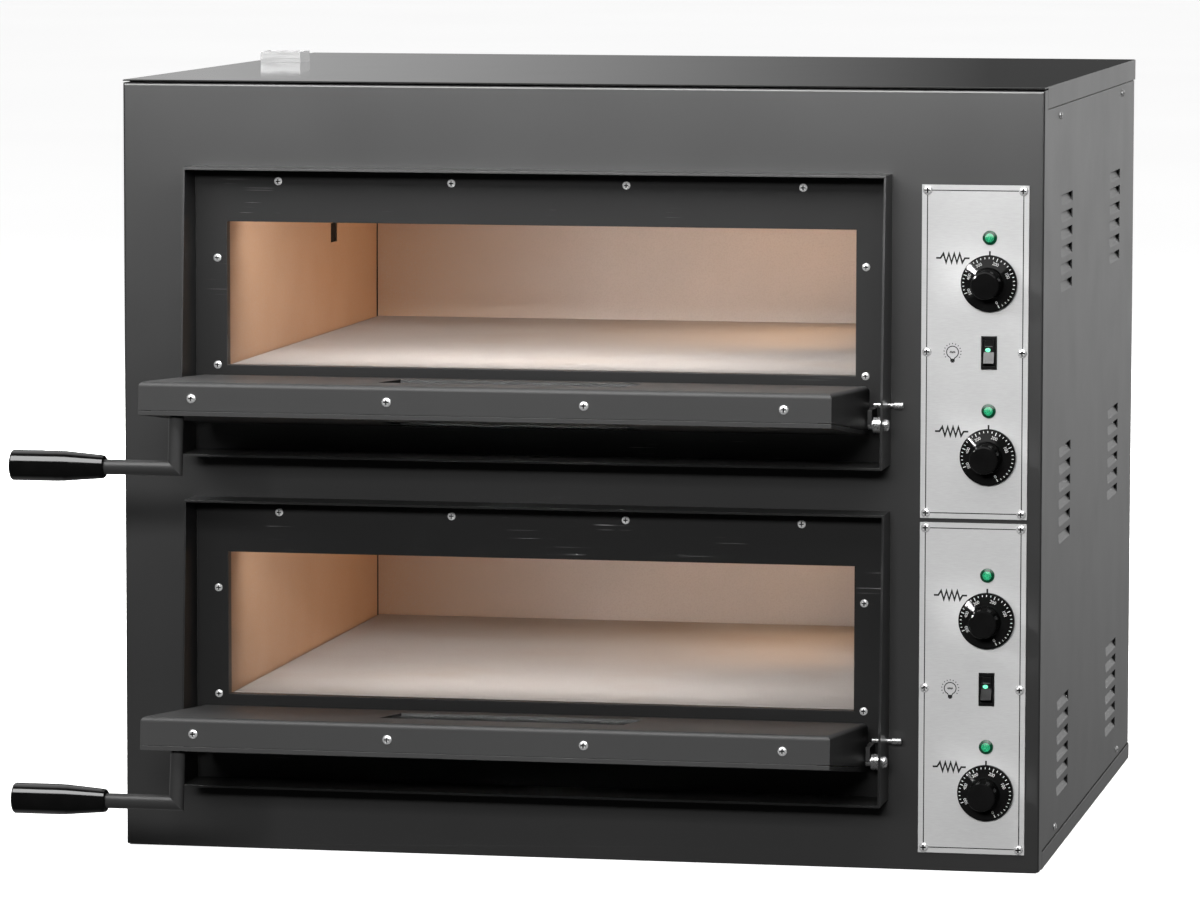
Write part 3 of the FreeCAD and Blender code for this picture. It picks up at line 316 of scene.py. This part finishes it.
def paint(name, level, roughness, scratched=False, peel=0.10, edge=0.0009, gloss=0.5, painted_shade_on_ends=False,
          lip_roughness=None):
    """Dark grey enamel on sheet steel: cloudy tone, orange peel, light worn edges.

    Scratches, painted shade on the ends (faces turned to the left or right, darker and less glossy)
    and a duller lip (faces not turned up) are there when asked for.
    """
    mat, tree, shader, place = start(name, Specular_IOR_Level=gloss)
    cloud = noise(tree, place, 5.0, 3.0)
    grain = noise(tree, place, 420.0, 2.0)
    tone = blended(tree, ranged(tree, cloud, 0.3, 0.7), grey(level * 0.97), grey(level * 1.03))
    normal, near_edge = soft_edges(tree, edge)
    chips = ranged(tree, noise(tree, place, 90.0, 3.0), 0.35, 0.75, 0.15, 0.8)
    worn = maths(tree, "MULTIPLY", near_edge, chips)
    tone = blended(tree, worn, tone, grey(level * 1.5 + EDGE_WEAR))
    swing = 0.012
    rough = ranged(tree, noise(tree, place, 14.0, 4.0), 0.3, 0.7, roughness - swing, roughness + swing)
    if lip_roughness:
        duller = ranged(tree, facing(tree, "Z"), 0.80, 0.98, lip_roughness - roughness, 0.0)
        rough = maths(tree, "ADD", rough, duller)
    if scratched:
        lines = noise(tree, place, 1.0, 1.0, (9.0, 9.0, 1500.0))
        patches = noise(tree, place, 16.0, 2.0)
        mark = maths(tree, "MULTIPLY", ranged(tree, lines, 0.70, 0.76), ranged(tree, patches, 0.60, 0.68))
        tone = blended(tree, maths(tree, "MULTIPLY", mark, 0.55), tone, grey(0.30))
    if painted_shade_on_ends:
        # Painted shade: faces turned to the left or right get a darker tone and a lower specular level.
        sideways = facing(tree, "X")
        end = ranged(tree, maths(tree, "MULTIPLY", sideways, sideways), 0.5, 0.9)
        tone = blended(tree, end, tone, grey(level * END_PAINTED_SHADE))
        dress(tree, shader, Specular_IOR_Level=ranged(tree, end, 0.0, 1.0, gloss, END_GLOSS))
    bump = node(tree, "Bump", {"Strength": peel, "Distance": 0.00018, "Height": grain, "Normal": normal})
    dress(tree, shader, Base_Color=tone, Roughness=rough, Normal=bump.outputs["Normal"])
    return mat


def steel(name, level, roughness, stretch, warm=0.0, metallic=1.0, edge=0.0006):
    """Brushed or rolled steel with its grain along the axis of the least stretch."""
    mat, tree, shader, place = start(name, Metallic=metallic)
    lines = noise(tree, place, 1.0, 3.0, stretch)
    cloud = noise(tree, place, 11.0, 3.0)
    both = maths(tree, "ADD", maths(tree, "MULTIPLY", lines, 0.6), maths(tree, "MULTIPLY", cloud, 0.4))
    dark, light = grey(level * 0.90, warm), grey(level * 1.05, warm)
    tone = blended(tree, ranged(tree, both, 0.35, 0.65), dark, light)
    swing = 0.06
    rough = ranged(tree, lines, 0.3, 0.7, roughness - swing, roughness + swing)
    normal, _ = soft_edges(tree, edge)
    bump = node(tree, "Bump", {"Strength": 0.05, "Distance": 0.0001, "Height": lines, "Normal": normal})
    dress(tree, shader, Base_Color=tone, Roughness=rough, Normal=bump.outputs["Normal"])
    return mat


def plastic(name, level, roughness, edge=0.0004, **sockets):
    """Moulded plastic with a fine skin and faint handling marks."""
    mat, tree, shader, place = start(name, **sockets)
    cloud = noise(tree, place, 60.0, 3.0)
    tone = blended(tree, ranged(tree, cloud, 0.3, 0.7), grey(level * 0.82), grey(level * 1.18))
    rough = ranged(tree, noise(tree, place, 140.0, 3.0), 0.3, 0.7, roughness - 0.03, roughness + 0.05)
    grain = noise(tree, place, 900.0, 1.0)
    normal, _ = soft_edges(tree, edge)
    bump = node(tree, "Bump", {"Strength": 0.04, "Distance": 0.00008, "Height": grain, "Normal": normal})
    dress(tree, shader, Base_Color=tone, Roughness=rough, Normal=bump.outputs["Normal"])
    return mat


def liner_finish():
    """Light steel of the chamber, with painted warm lamp light towards the left."""
    mat, tree, shader, place = start("liner_steel", Metallic=0.15, Specular_IOR_Level=0.35)
    grain = noise(tree, place, 650.0, 3.0)
    cloud = noise(tree, place, 7.0, 4.0)
    tone = blended(tree, ranged(tree, cloud, 0.3, 0.7), (0.43, 0.395, 0.375, 1), (0.49, 0.45, 0.43, 1))
    # Painted light: the liner turns orange towards the left, where the warm oven lamp shines.
    across = node(tree, "SeparateXYZ", {"Vector": place}).outputs["X"]
    tone = blended(tree, ranged(tree, across, *PAINTED_LAMP_LIGHT_X), (0.37, 0.236, 0.150, 1), tone)
    tone = blended(tree, ranged(tree, grain, 0.45, 0.75, 0.0, 0.35), tone, (0.35, 0.315, 0.29, 1))
    bump = node(tree, "Bump", {"Strength": 0.08, "Distance": 0.0002, "Height": grain})
    rough = ranged(tree, cloud, 0.3, 0.7, 0.42, 0.55)
    dress(tree, shader, Base_Color=tone, Roughness=rough, Normal=bump.outputs["Normal"])
    return mat


def stone_finish():
    """Pale refractory clay with grit, pores and faint baking stains."""
    mat, tree, shader, place = start("baking_stone", Specular_IOR_Level=0.3)
    grit = noise(tree, place, 1400.0, 3.0)
    stain = noise(tree, place, 9.0, 5.0)
    pores = node(tree, "TexVoronoi", {"Vector": place, "Scale": 320.0}).outputs["Distance"]
    tone = blended(tree, ranged(tree, grit, 0.35, 0.65), (0.34, 0.32, 0.305, 1), (0.39, 0.37, 0.355, 1))
    tone = blended(tree, ranged(tree, stain, 0.52, 0.80, 0.0, 0.35), tone, (0.33, 0.27, 0.21, 1))
    pore = ranged(tree, pores, 0.10, 0.02)
    tone = blended(tree, maths(tree, "MULTIPLY", pore, 0.5), tone, (0.22, 0.19, 0.16, 1))
    height = maths(tree, "SUBTRACT", grit, pore)
    bump = node(tree, "Bump", {"Strength": 0.25, "Distance": 0.0003, "Height": height})
    rough = ranged(tree, stain, 0.3, 0.7, 0.80, 0.92)
    dress(tree, shader, Base_Color=tone, Roughness=rough, Normal=bump.outputs["Normal"])
    return mat


def lamp_lens_finish(name, shaded_rim, middle, glow, facet_scale):
    """Coloured lens: sides darkened with painted shade, cut facets on the front lighter with painted glints, and
    the front glows a little.
    """
    mat, tree, shader, place = start(name, Roughness=0.12, Specular_IOR_Level=0.3)
    # Painted shade: the less the surface faces the front, the darker; painted glints: each facet's middle is
    # lighter.
    face = ranged(tree, facing(tree, "Y"), -0.78, -0.95)
    facets = node(tree, "TexVoronoi", {"Vector": place, "Scale": facet_scale}).outputs["Distance"]
    painted_glint = ranged(tree, facets, 0.15, 0.65, 1.0, 0.25)
    tone = blended(tree, maths(tree, "MULTIPLY", face, painted_glint), shaded_rim, middle)
    bump = node(tree, "Bump", {"Strength": 0.5, "Distance": 0.0004, "Height": facets})
    shine = maths(tree, "MULTIPLY", face, glow)
    dress(tree, shader, Base_Color=tone, Emission_Color=tone, Emission_Strength=shine,
          Normal=bump.outputs["Normal"])
    return mat


def glass_finish(name, tint, roughness=0.0):
    """Clear glass with faint smears."""
    mat, tree, shader, place = start(name, Transmission_Weight=1.0, IOR=1.5)
    smear = noise(tree, place, 22.0, 5.0)
    smeared_tint = tuple(c * 0.93 for c in tint[:3]) + (1.0,)
    tone = blended(tree, ranged(tree, smear, 0.4, 0.7), tint, smeared_tint)
    rough = ranged(tree, smear, 0.45, 0.75, roughness, roughness + 0.015)
    dress(tree, shader, Base_Color=tone, Roughness=rough)
    return mat


def wool_finish():
    """Yellowish mineral fibres."""
    mat, tree, shader, place = start("mineral_wool", Roughness=0.95)
    fibres = noise(tree, place, 1.0, 4.0, (300.0, 900.0, 500.0))
    tone = blended(tree, ranged(tree, fibres, 0.3, 0.7), (0.50, 0.45, 0.30, 1), (0.72, 0.68, 0.52, 1))
    bump = node(tree, "Bump", {"Strength": 0.6, "Distance": 0.001, "Height": fibres})
    dress(tree, shader, Base_Color=tone, Normal=bump.outputs["Normal"])
    return mat


def ink_finish(name, level):
    """Screen-printed ink, slightly uneven."""
    mat, tree, shader, place = start(name, Roughness=0.7, Specular_IOR_Level=0.05)
    worn = noise(tree, place, 1500.0, 2.0)
    tone = blended(tree, ranged(tree, worn, 0.3, 0.7), grey(level * 0.85), grey(level * 1.1))
    dress(tree, shader, Base_Color=tone)
    return mat


def floor_finish(name):
    """Pale paper that glows a little, so that no shadow darkens it."""
    mat, tree, shader, place = start(name, Roughness=0.9, Specular_IOR_Level=0.1)
    cloud = noise(tree, place, 0.6, 2.0)
    tone = blended(tree, cloud, grey(0.86), grey(0.90))
    dress(tree, shader, Base_Color=tone, Emission_Color=tone, Emission_Strength=FLOOR_GLOW)
    return mat


FINISHES = {
    "casing_paint": paint("casing_paint", 0.020, 0.38),
    "lid_paint": paint("lid_paint", 0.022, 0.055, peel=0.015, lip_roughness=0.38),
    "surround_paint": paint("surround_paint", 0.010, 0.38, edge=0.0004),
    "mouth_paint": paint("mouth_paint", 0.011, 0.40, scratched=True, gloss=0.25),
    "door_paint": paint("door_paint", 0.038, 0.48, edge=0.0006, gloss=0.12, painted_shade_on_ends=True),
    "handle_paint": paint("handle_paint", 0.023, 0.42, gloss=0.15),
    "frame_steel": steel("frame_steel", 0.55, 0.45, (60.0, 60.0, 60.0)),
    "vent_steel": steel("vent_steel", 0.60, 0.20, (40.0, 40.0, 900.0), metallic=0.25, edge=0.0002),
    "liner_steel": liner_finish(),
    "baking_stone": stone_finish(),
    "control_plate_steel": steel("control_plate_steel", 0.355, 0.62, (150.0, 150.0, 2600.0), metallic=0.02),
    "bright_screw": steel("bright_screw", 0.62, 0.24, (700.0, 700.0, 700.0), metallic=0.5, edge=0.0002),
    "hinge_bolt": steel("hinge_bolt", 0.50, 0.28, (500.0, 500.0, 500.0), metallic=0.86, edge=0.0003),
    "element_steel": steel("element_steel", 0.30, 0.5, (300.0, 300.0, 300.0), warm=0.08),
    "knob_plastic": plastic("knob_plastic", 0.005, 0.09, edge=0.0003, Specular_IOR_Level=0.02),
    "grip_plastic": plastic("grip_plastic", 0.003, 0.09, Specular_IOR_Level=0.25),
    "switch_plastic": plastic("switch_plastic", 0.004, 0.30, Specular_IOR_Level=0.25),
    "spindle_steel": steel("spindle_steel", 0.60, 0.3, (900.0, 900.0, 900.0)),
    "pilot_green": lamp_lens_finish("pilot_green", shaded_rim=(0.001, 0.018, 0.008, 1),
                                    middle=(0.04, 0.55, 0.25, 1), glow=0.35, facet_scale=1300.0),
    "door_glass": glass_finish("door_glass", (0.93, 0.96, 0.95, 1)),
    "window_frame_steel": steel("window_frame_steel", 0.5, 0.4, (60.0, 60.0, 60.0)),
    "lamp_glass": glass_finish("lamp_glass", (1.0, 0.90, 0.70, 1), 0.2),
    "lamp_holder_ceramic": plastic("lamp_holder_ceramic", 0.7, 0.6),
    "mineral_wool": wool_finish(),
    "thermostat_plastic": plastic("thermostat_plastic", 0.2, 0.6),
    "terminal_plastic": plastic("terminal_plastic", 0.7, 0.55),
    "gland_plastic": plastic("gland_plastic", 0.02, 0.5),
}
# Black ink for print and the sooty liner seams, also used for the painted shade in the steam slots and screw
# recesses.
BLACK_INK_AND_SHADE = ink_finish("black_ink_and_shade", 0.012)
WHITE_INK = ink_finish("white_ink", 0.55)
FAINT_INK = ink_finish("faint_ink", 0.16)
ROCKER_LENS = lamp_lens_finish("rocker_lens", shaded_rim=(0.01, 0.25, 0.12, 1), middle=(0.25, 0.95, 0.55, 1),
                               glow=1.2, facet_scale=1500.0)

for part in frame["record"]["subparts"]:
    for material_slot in NODES[part["node"]].material_slots:
        material_slot.material = FINISHES[part["material_slot"]]


# ---------------------------------------------------------------- dials

def skirt_height(radius):
    """Height of the skirt's cone above the control plate."""
    share = (SKIRT_RIM[0] - radius) / (SKIRT_RIM[0] - SKIRT_FOOT[0])
    return SKIRT_RIM[1] + min(max(share, 0.0), 1.0) * (SKIRT_FOOT[1] - SKIRT_RIM[1])


def on_dial(shape, centre, degrees):
    """Shape drawn upright (x across, z away from the axis) laid on the skirt at an angle from the top."""
    turn = math.radians(degrees)
    placed = []
    for across, radius in shape[0]:
        x = radius * math.sin(turn) + across * math.cos(turn)
        z = radius * math.cos(turn) - across * math.sin(turn)
        lift = skirt_height(math.hypot(x, z)) + INK_LIFT
        placed.append(Vector((centre.x + x, centre.y - lift, centre.z + z)))
    return placed, shape[1]


def dial_marks(knob):
    """Numbers and ticks of one dial."""
    centre = Vector(JOINTS["knob_turn_" + knob]["pos_m"])
    shapes = []
    for index, (text, degrees, steps) in enumerate(DIAL):
        shapes.append(on_dial(moved(lettering(text, NUMBER_SIZE), 0, NUMBER_R), centre, degrees))
        ticks = [(degrees, TICK_LONG)]
        if steps:
            step = (DIAL[index + 1][1] - degrees) / steps
            ticks += [(degrees + step * i, TICK_SHORT) for i in range(1, steps)]
        for angle, length in ticks:
            tick = ribbon([(0, TICK_R), (0, TICK_R - length / 2), (0, TICK_R - length)], TICK_W)
            shapes.append(on_dial(tick, centre, angle))
    verts, faces = gather(shapes)
    new_piece("dial_marks_" + knob, verts, faces, "knob_" + knob, WHITE_INK)


# ---------------------------------------------------------------- control plate printing

def resistor():
    """Zig-zag heater symbol."""
    peaks = 8
    points = [(-RESISTOR_HALF, 0), (-ZIGZAG_HALF - ZIGZAG_LEADS[0], 0)]
    for i in range(peaks):
        height = -ZIGZAG_HEIGHT if i % 2 else ZIGZAG_HEIGHT
        points.append((-ZIGZAG_HALF + (i + 0.5) * ZIGZAG_HALF * 2 / peaks, height))
    points += [(ZIGZAG_HALF + ZIGZAG_LEADS[1], 0), (RESISTOR_HALF, 0)]
    return ribbon(points, SYMBOL_LINE)


def bulb():
    """Lamp symbol: globe, neck, cap, filament and rays."""
    shapes = [ribbon(arc(BULB_R, -BULB_GAP_DEGREES, 180 + BULB_GAP_DEGREES, 32), BULB_LINE)]
    neck = BULB_R * math.cos(math.radians(BULB_GAP_DEGREES))
    foot = -BULB_R * math.sin(math.radians(BULB_GAP_DEGREES))
    for side in (-1, 1):
        shapes.append(ribbon([(side * neck, foot), (side * neck * 0.95, foot - 1.2 * MM)], BULB_LINE))
    cap_top = foot - 1.4 * MM
    for i, width in enumerate((1.0, 1.0, 1.0, 0.6)):
        z = cap_top - CAP_PITCH * i
        shapes.append(ribbon([(-neck * width, z), (neck * width, z)], BULB_LINE * 1.1))
    turns = 8
    coil = [((i - turns / 2) * COIL_PITCH, COIL_HEIGHT if i % 2 else -COIL_HEIGHT) for i in range(turns + 1)]
    shapes.append(ribbon(coil, BULB_LINE * 0.7))
    rays = 12
    for i in range(rays + 1):
        turn = math.radians(-35 + 250 * i / rays)
        ray = [(r * math.cos(turn), r * math.sin(turn)) for r in BULB_RAY_R]
        shapes.append(ribbon(ray, BULB_LINE * 0.9))
    return gather(shapes)


def plate_printing(deck):
    """Frame line, symbols and the dials' index marks of one control plate."""
    low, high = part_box("control_plate_" + deck)
    middle = (Vector(low) + Vector(high)) / 2
    half_w = (high[0] - low[0]) / 2 - FRAME_INSET
    half_h = (high[2] - low[2]) / 2 - FRAME_INSET
    corners = [(-half_w, -half_h), (half_w, -half_h), (half_w, half_h), (-half_w, half_h)]
    shapes = [ribbon(corners, FRAME_LINE, closed=True), moved(bulb(), SYMBOL_X + BULB_SHIFT, 0)]
    shapes += [moved(resistor(), SYMBOL_X, z) for z in SYMBOL_Z]
    for name in ("ceiling", "floor"):
        pivot = JOINTS["knob_turn_" + name + "_" + deck]["pos_m"]
        x, z = pivot[0] - middle.x, pivot[2] - middle.z
        shapes.append(ribbon([(x, z + r) for r in INDEX_R], INDEX_W))
    points, faces = gather(shapes)
    verts = [Vector((middle.x + p[0], low[1] - INK_LIFT, middle.z + p[1])) for p in points]
    new_piece("plate_printing_" + deck, verts, faces, "casing", BLACK_INK_AND_SHADE)


# ---------------------------------------------------------------- rocker light

def dome(name, centre, half_x, half_z, proud, body, material, slot):
    """Low elliptical lens that faces -Y."""
    rings, steps = 5, 28
    verts = [Vector((centre.x, centre.y - proud, centre.z))]
    for ring in range(1, rings + 1):
        share = math.sin(ring / rings * math.pi / 2)
        lift = proud * math.cos(ring / rings * math.pi / 2)
        for step in range(steps):
            turn = 2 * math.pi * step / steps
            offset = Vector((half_x * share * math.cos(turn), -lift, half_z * share * math.sin(turn)))
            verts.append(centre + offset)
    faces = [(0, 1 + (i + 1) % steps, 1 + i) for i in range(steps)]
    for ring in range(rings - 1):
        inner = 1 + ring * steps
        outer = inner + steps
        for i in range(steps):
            following = (i + 1) % steps
            faces.append((inner + i, inner + following, outer + following, outer + i))
    piece = new_piece(name, verts, faces, body, material)
    for polygon in piece.data.polygons:
        polygon.use_smooth = True


def rocker_marks(deck):
    """Light and printed line on one rocker's face."""
    pivot = Vector(JOINTS["rocker_tilt_" + deck]["pos_m"])
    face_y = pivot.y - ROCKER_FACE
    lens_at = Vector((pivot.x + LENS_X, face_y, pivot.z + LENS_Z))
    body = "rocker_" + deck
    dome("rocker_light_" + deck, lens_at, *LENS_HALF, LENS_PROUD, body, ROCKER_LENS, "pilot_green")
    line, faces = ribbon([(-LINE_HALF, LINE_Z), (LINE_HALF, LINE_Z)], LINE_W)
    verts = [Vector((pivot.x + p[0], face_y - INK_LIFT, pivot.z + p[1])) for p in line]
    new_piece("rocker_line_" + deck, verts, faces, body, FAINT_INK)


for deck in DECKS:
    plate_printing(deck)
    rocker_marks(deck)
    for name in ("ceiling", "floor"):
        dial_marks(name + "_" + deck)


# ---------------------------------------------------------------- seams, and painted shade in the steam slots and screw recesses

def liner_seams(deck):
    """Open joint between the side walls and the back wall, dark with soot."""
    low, high = (Vector(corner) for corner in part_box("chamber_liner_" + deck))
    y = high.y - LINER_T - INK_LIFT
    shapes = []
    for x in (low.x + LINER_T + SEAM_W / 2, high.x - LINER_T - SEAM_W / 2):
        shapes.append(ribbon([(x, low.z + LINER_T), (x, high.z - LINER_T)], SEAM_W))
    points, faces = gather(shapes)
    verts = [Vector((p[0], y, p[1])) for p in points]
    new_piece("liner_seams_" + deck, verts, faces, "casing", BLACK_INK_AND_SHADE)


def steam_slot_shade(deck):
    """Black sheet just behind the slot in the left wall: painted shade in the mouth of the steam duct."""
    low = Vector(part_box("chamber_liner_" + deck)[0])
    x, z = low.x - LINER_T / 2, low.z + SLOT_UP[deck]
    verts = [(x, SLOT_Y[0], z), (x, SLOT_Y[1], z), (x, SLOT_Y[1], z + SLOT_H), (x, SLOT_Y[0], z + SLOT_H)]
    new_piece("steam_slot_shade_" + deck, verts, [(0, 1, 2, 3)], "casing", BLACK_INK_AND_SHADE)


def screw_places(name):
    """Corners of each screw's box, for screws whose heads face the front at rest."""
    boxes = []
    piece = NODES[name]
    for vertex in piece.data.vertices:
        place = piece.matrix_world @ vertex.co
        for low, high in boxes:
            if abs(low.x - place.x) < SCREW_REACH and abs(low.z - place.z) < SCREW_REACH:
                for axis in range(3):
                    low[axis] = min(low[axis], place[axis])
                    high[axis] = max(high[axis], place[axis])
                break
        else:
            boxes.append((place.copy(), place.copy()))
    return boxes


def screw_recess_shade(name, body):
    """Black cross of painted shade in the recess of each screw head."""
    shapes, depths = [], []
    for low, high in screw_places(name):
        arm = (high.x - low.x) / 2 * RECESS_ARM
        width = arm * RECESS_WIDTH
        cross = gather([ribbon([(-arm, 0), (arm, 0)], width), ribbon([(0, -arm), (0, arm)], width)])
        shapes.append(moved(cross, (low.x + high.x) / 2, (low.z + high.z) / 2))
        depths += [low.y + RECESS_SINK] * len(cross[0])
    points, faces = gather(shapes)
    verts = [Vector((p[0], y, p[1])) for p, y in zip(points, depths)]
    new_piece("shade_in_recesses_of_" + name, verts, faces, body, BLACK_INK_AND_SHADE)


for deck in DECKS:
    steam_slot_shade(deck)
    screw_recess_shade("door_screws_" + deck, "door_" + deck)
screw_recess_shade("mouth_screws", "casing")
screw_recess_shade("control_screws", "casing")
for deck in DECKS:
    liner_seams(deck)


# ---------------------------------------------------------------- studio

def square(half, z):
    """Corners of a level square about the z axis."""
    return [(-half, -half, z), (half, -half, z), (half, half, z), (-half, half, z)]


def floor():
    """Pale floor that the oven doesn't mirror."""
    mesh = bpy.data.meshes.new("studio_floor")
    mesh.from_pydata(square(FLOOR_HALF, 0), [], [(0, 1, 2, 3)])
    mesh.materials.append(floor_finish("studio_floor"))
    ground = bpy.data.objects.new("studio_floor", mesh)
    ground.location.z = -FLOOR_DROP
    for kind in ("glossy", "diffuse"):
        setattr(ground, "visible_" + kind, False)
    bpy.context.scene.collection.objects.link(ground)


def backdrop():
    """Pale walls and ceiling far away that only the camera sees, for views over the horizon."""
    walls = [(i, (i + 1) % 4, (i + 1) % 4 + 4, i + 4) for i in range(4)]
    ceiling = (4, 5, 6, 7)
    mesh = bpy.data.meshes.new("studio_backdrop")
    mesh.from_pydata(square(WALL_AWAY, 0) + square(WALL_AWAY, WALL_AWAY), [], walls + [ceiling])
    mesh.materials.append(floor_finish("studio_backdrop"))
    shell = bpy.data.objects.new("studio_backdrop", mesh)
    for kind in ("glossy", "diffuse", "transmission", "shadow"):
        setattr(shell, "visible_" + kind, False)
    bpy.context.scene.collection.objects.link(shell)


def softbox(name, at, towards, size, watts, color=(1, 1, 1), spread=180, hidden_from=()):
    """Rectangular area light that the camera and the named kinds of ray don't see."""
    data = bpy.data.lights.new(name, "AREA")
    data.spread = math.radians(spread)
    data.shape = "RECTANGLE"
    data.size, data.size_y = size
    data.energy = watts
    data.color = color
    lamp = bpy.data.objects.new(name, data)
    lamp.location = at
    lamp.rotation_mode = "QUATERNION"
    lamp.rotation_quaternion = (Vector(towards) - Vector(at)).to_track_quat("-Z", "Y")
    for kind in ("camera",) + hidden_from:
        setattr(lamp, "visible_" + kind, False)
    bpy.context.scene.collection.objects.link(lamp)
    return lamp


def spare(lamp, piece):
    """Keep a light off one piece."""
    spared = bpy.data.collections.new(lamp.name + "_spares")
    spared.objects.link(piece)
    spared.collection_objects[0].light_linking.link_state = "EXCLUDE"
    lamp.light_linking.receiver_collection = spared


def chamber_lights(deck, share):
    """The oven lamp's warm glow from the right wall, and pale light that enters over the door."""
    glass_low, glass_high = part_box("lamp_glasses")
    low, high = (Vector(corner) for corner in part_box("chamber_liner_" + deck))
    lamp_y = (glass_low[1] + glass_high[1]) / 2
    middle_z = (low.z + high.z) / 2
    lamp_at = (glass_low[0] - LAMP_GAP, lamp_y, middle_z + LAMP_RISE)
    softbox("oven_lamp_" + deck, lamp_at, towards=(low.x, lamp_y, middle_z), size=(0.30, 0.10),
            watts=LAMP_WATTS * share, color=LAMP_COLOR, spread=LAMP_SPREAD)
    fill_at = ((low.x + high.x) / 2 + FILL_X, low.y + FILL_IN, high.z - FILL_DROP)
    fill_aim = (fill_at[0], high.y - FILL_AIM[0], middle_z - FILL_AIM[1])
    softbox("chamber_fill_" + deck, fill_at, towards=fill_aim, size=(0.46, 0.02),
            watts=FILL_WATTS * share, color=FILL_COLOR, spread=FILL_SPREAD)


def sky():
    """Dim in front; behind, pale on the left for the lid, and bright low on the right for the side."""
    world = bpy.data.worlds.new("studio")
    world.use_nodes = True
    tree = world.node_tree
    direction = node(tree, "TexCoord").outputs["Generated"]
    axes = node(tree, "SeparateXYZ", {"Vector": direction}).outputs
    open_sky = blended(tree, ranged(tree, axes["X"], *LEFT_FADE_X), grey(SKY_LEFT), grey(SKY_RIGHT))
    band = blended(tree, ranged(tree, axes["Z"], *BAND_FADE_Z), grey(BAND_LOW), grey(BAND_HIGH))
    left_edge, right_edge = (ranged(tree, axes["X"], *fade) for fade in (BAND_LEFT_X, BAND_RIGHT_X))
    across = maths(tree, "MULTIPLY", left_edge, right_edge)
    in_band = maths(tree, "MULTIPLY", across, ranged(tree, axes["Z"], *BAND_TOP_Z))
    behind = blended(tree, in_band, open_sky, band)
    tone = blended(tree, ranged(tree, axes["Y"], *FRONT_FADE_Y), grey(SKY_FRONT), behind)
    tree.links.new(tone, tree.nodes["Background"].inputs["Color"])
    bpy.context.scene.world = world


def studio():
    """Floor, backdrop, surroundings and lights."""
    floor()
    backdrop()
    sky()
    key = softbox("key", at=(0.05, -1.1, 1.25), towards=(0.0, -0.4, 0.62), size=(2.4, 0.7),
                  watts=KEY_WATTS, hidden_from=("diffuse",))
    spare(key, NODES["top_cover"])
    softbox("front", at=(0.3, -8.5, 2.55), towards=(0.0, -0.3, 0.4), size=(3.0, 0.8),
            watts=FRONT_WATTS, hidden_from=("glossy",))
    for joint in JOINTS:
        if joint.startswith("knob_turn_"):
            dial = Vector(JOINTS[joint]["pos_m"])
            softbox("glint_" + joint, at=dial + GLINT_FROM, towards=dial, size=(0.055, 0.04),
                    watts=GLINT_WATTS, spread=GLINT_SPREAD, hidden_from=("diffuse",))
    softbox("overhead", at=(0.0, 1.6, 3.2), towards=(0.0, 1.2, 0.0), size=(4.0, 3.0), watts=OVERHEAD_WATTS)
    right_fill = softbox("right_fill", at=(3.2, 4.2, 1.6), towards=(0.4, 0.0, 0.4), size=(2.0, 1.5),
                         watts=RIGHT_FILL_WATTS, hidden_from=("glossy",))
    spare(right_fill, NODES["steam_vent"])
    softbox("left_fill", at=(-3.4, 3.4, 1.8), towards=(-0.4, 0.1, 0.4), size=(2.0, 1.5),
            watts=LEFT_FILL_WATTS, hidden_from=("glossy",))
    for deck, share in (("lower", LOWER_SHARE), ("upper", 1.0)):
        chamber_lights(deck, share)
    bpy.context.scene.view_settings.view_transform = "Standard"


# ---------------------------------------------------------------- camera

CAMERA_AT = Vector((1.1688, -6.3021, 0.9761))
CAMERA_YAW = math.radians(-10.974)
CAMERA_PITCH = math.radians(-5.567)
CAMERA_ROLL = math.radians(0.098)
CAMERA_LENS = 190.8
CAMERA_SENSOR = 36.0


def camera():
    """Camera that looks along a yaw and a pitch and leans by a small roll."""
    ahead = Vector((math.sin(CAMERA_YAW), math.cos(CAMERA_YAW), math.tan(CAMERA_PITCH))).normalized()
    right = ahead.cross(Vector((0, 0, 1))).normalized()
    up = right.cross(ahead)
    across = right * math.cos(CAMERA_ROLL) + up * math.sin(CAMERA_ROLL)
    upright = up * math.cos(CAMERA_ROLL) - right * math.sin(CAMERA_ROLL)
    data = bpy.data.cameras.new("camera")
    data.lens = CAMERA_LENS
    data.sensor_width = CAMERA_SENSOR
    data.clip_start, data.clip_end = 0.1, 500.0
    eye = bpy.data.objects.new("camera", data)
    turn = Matrix((across, upright, -ahead)).transposed().to_4x4()
    eye.matrix_world = Matrix.Translation(CAMERA_AT) @ turn
    bpy.context.scene.collection.objects.link(eye)
    bpy.context.scene.camera = eye


studio()
camera()
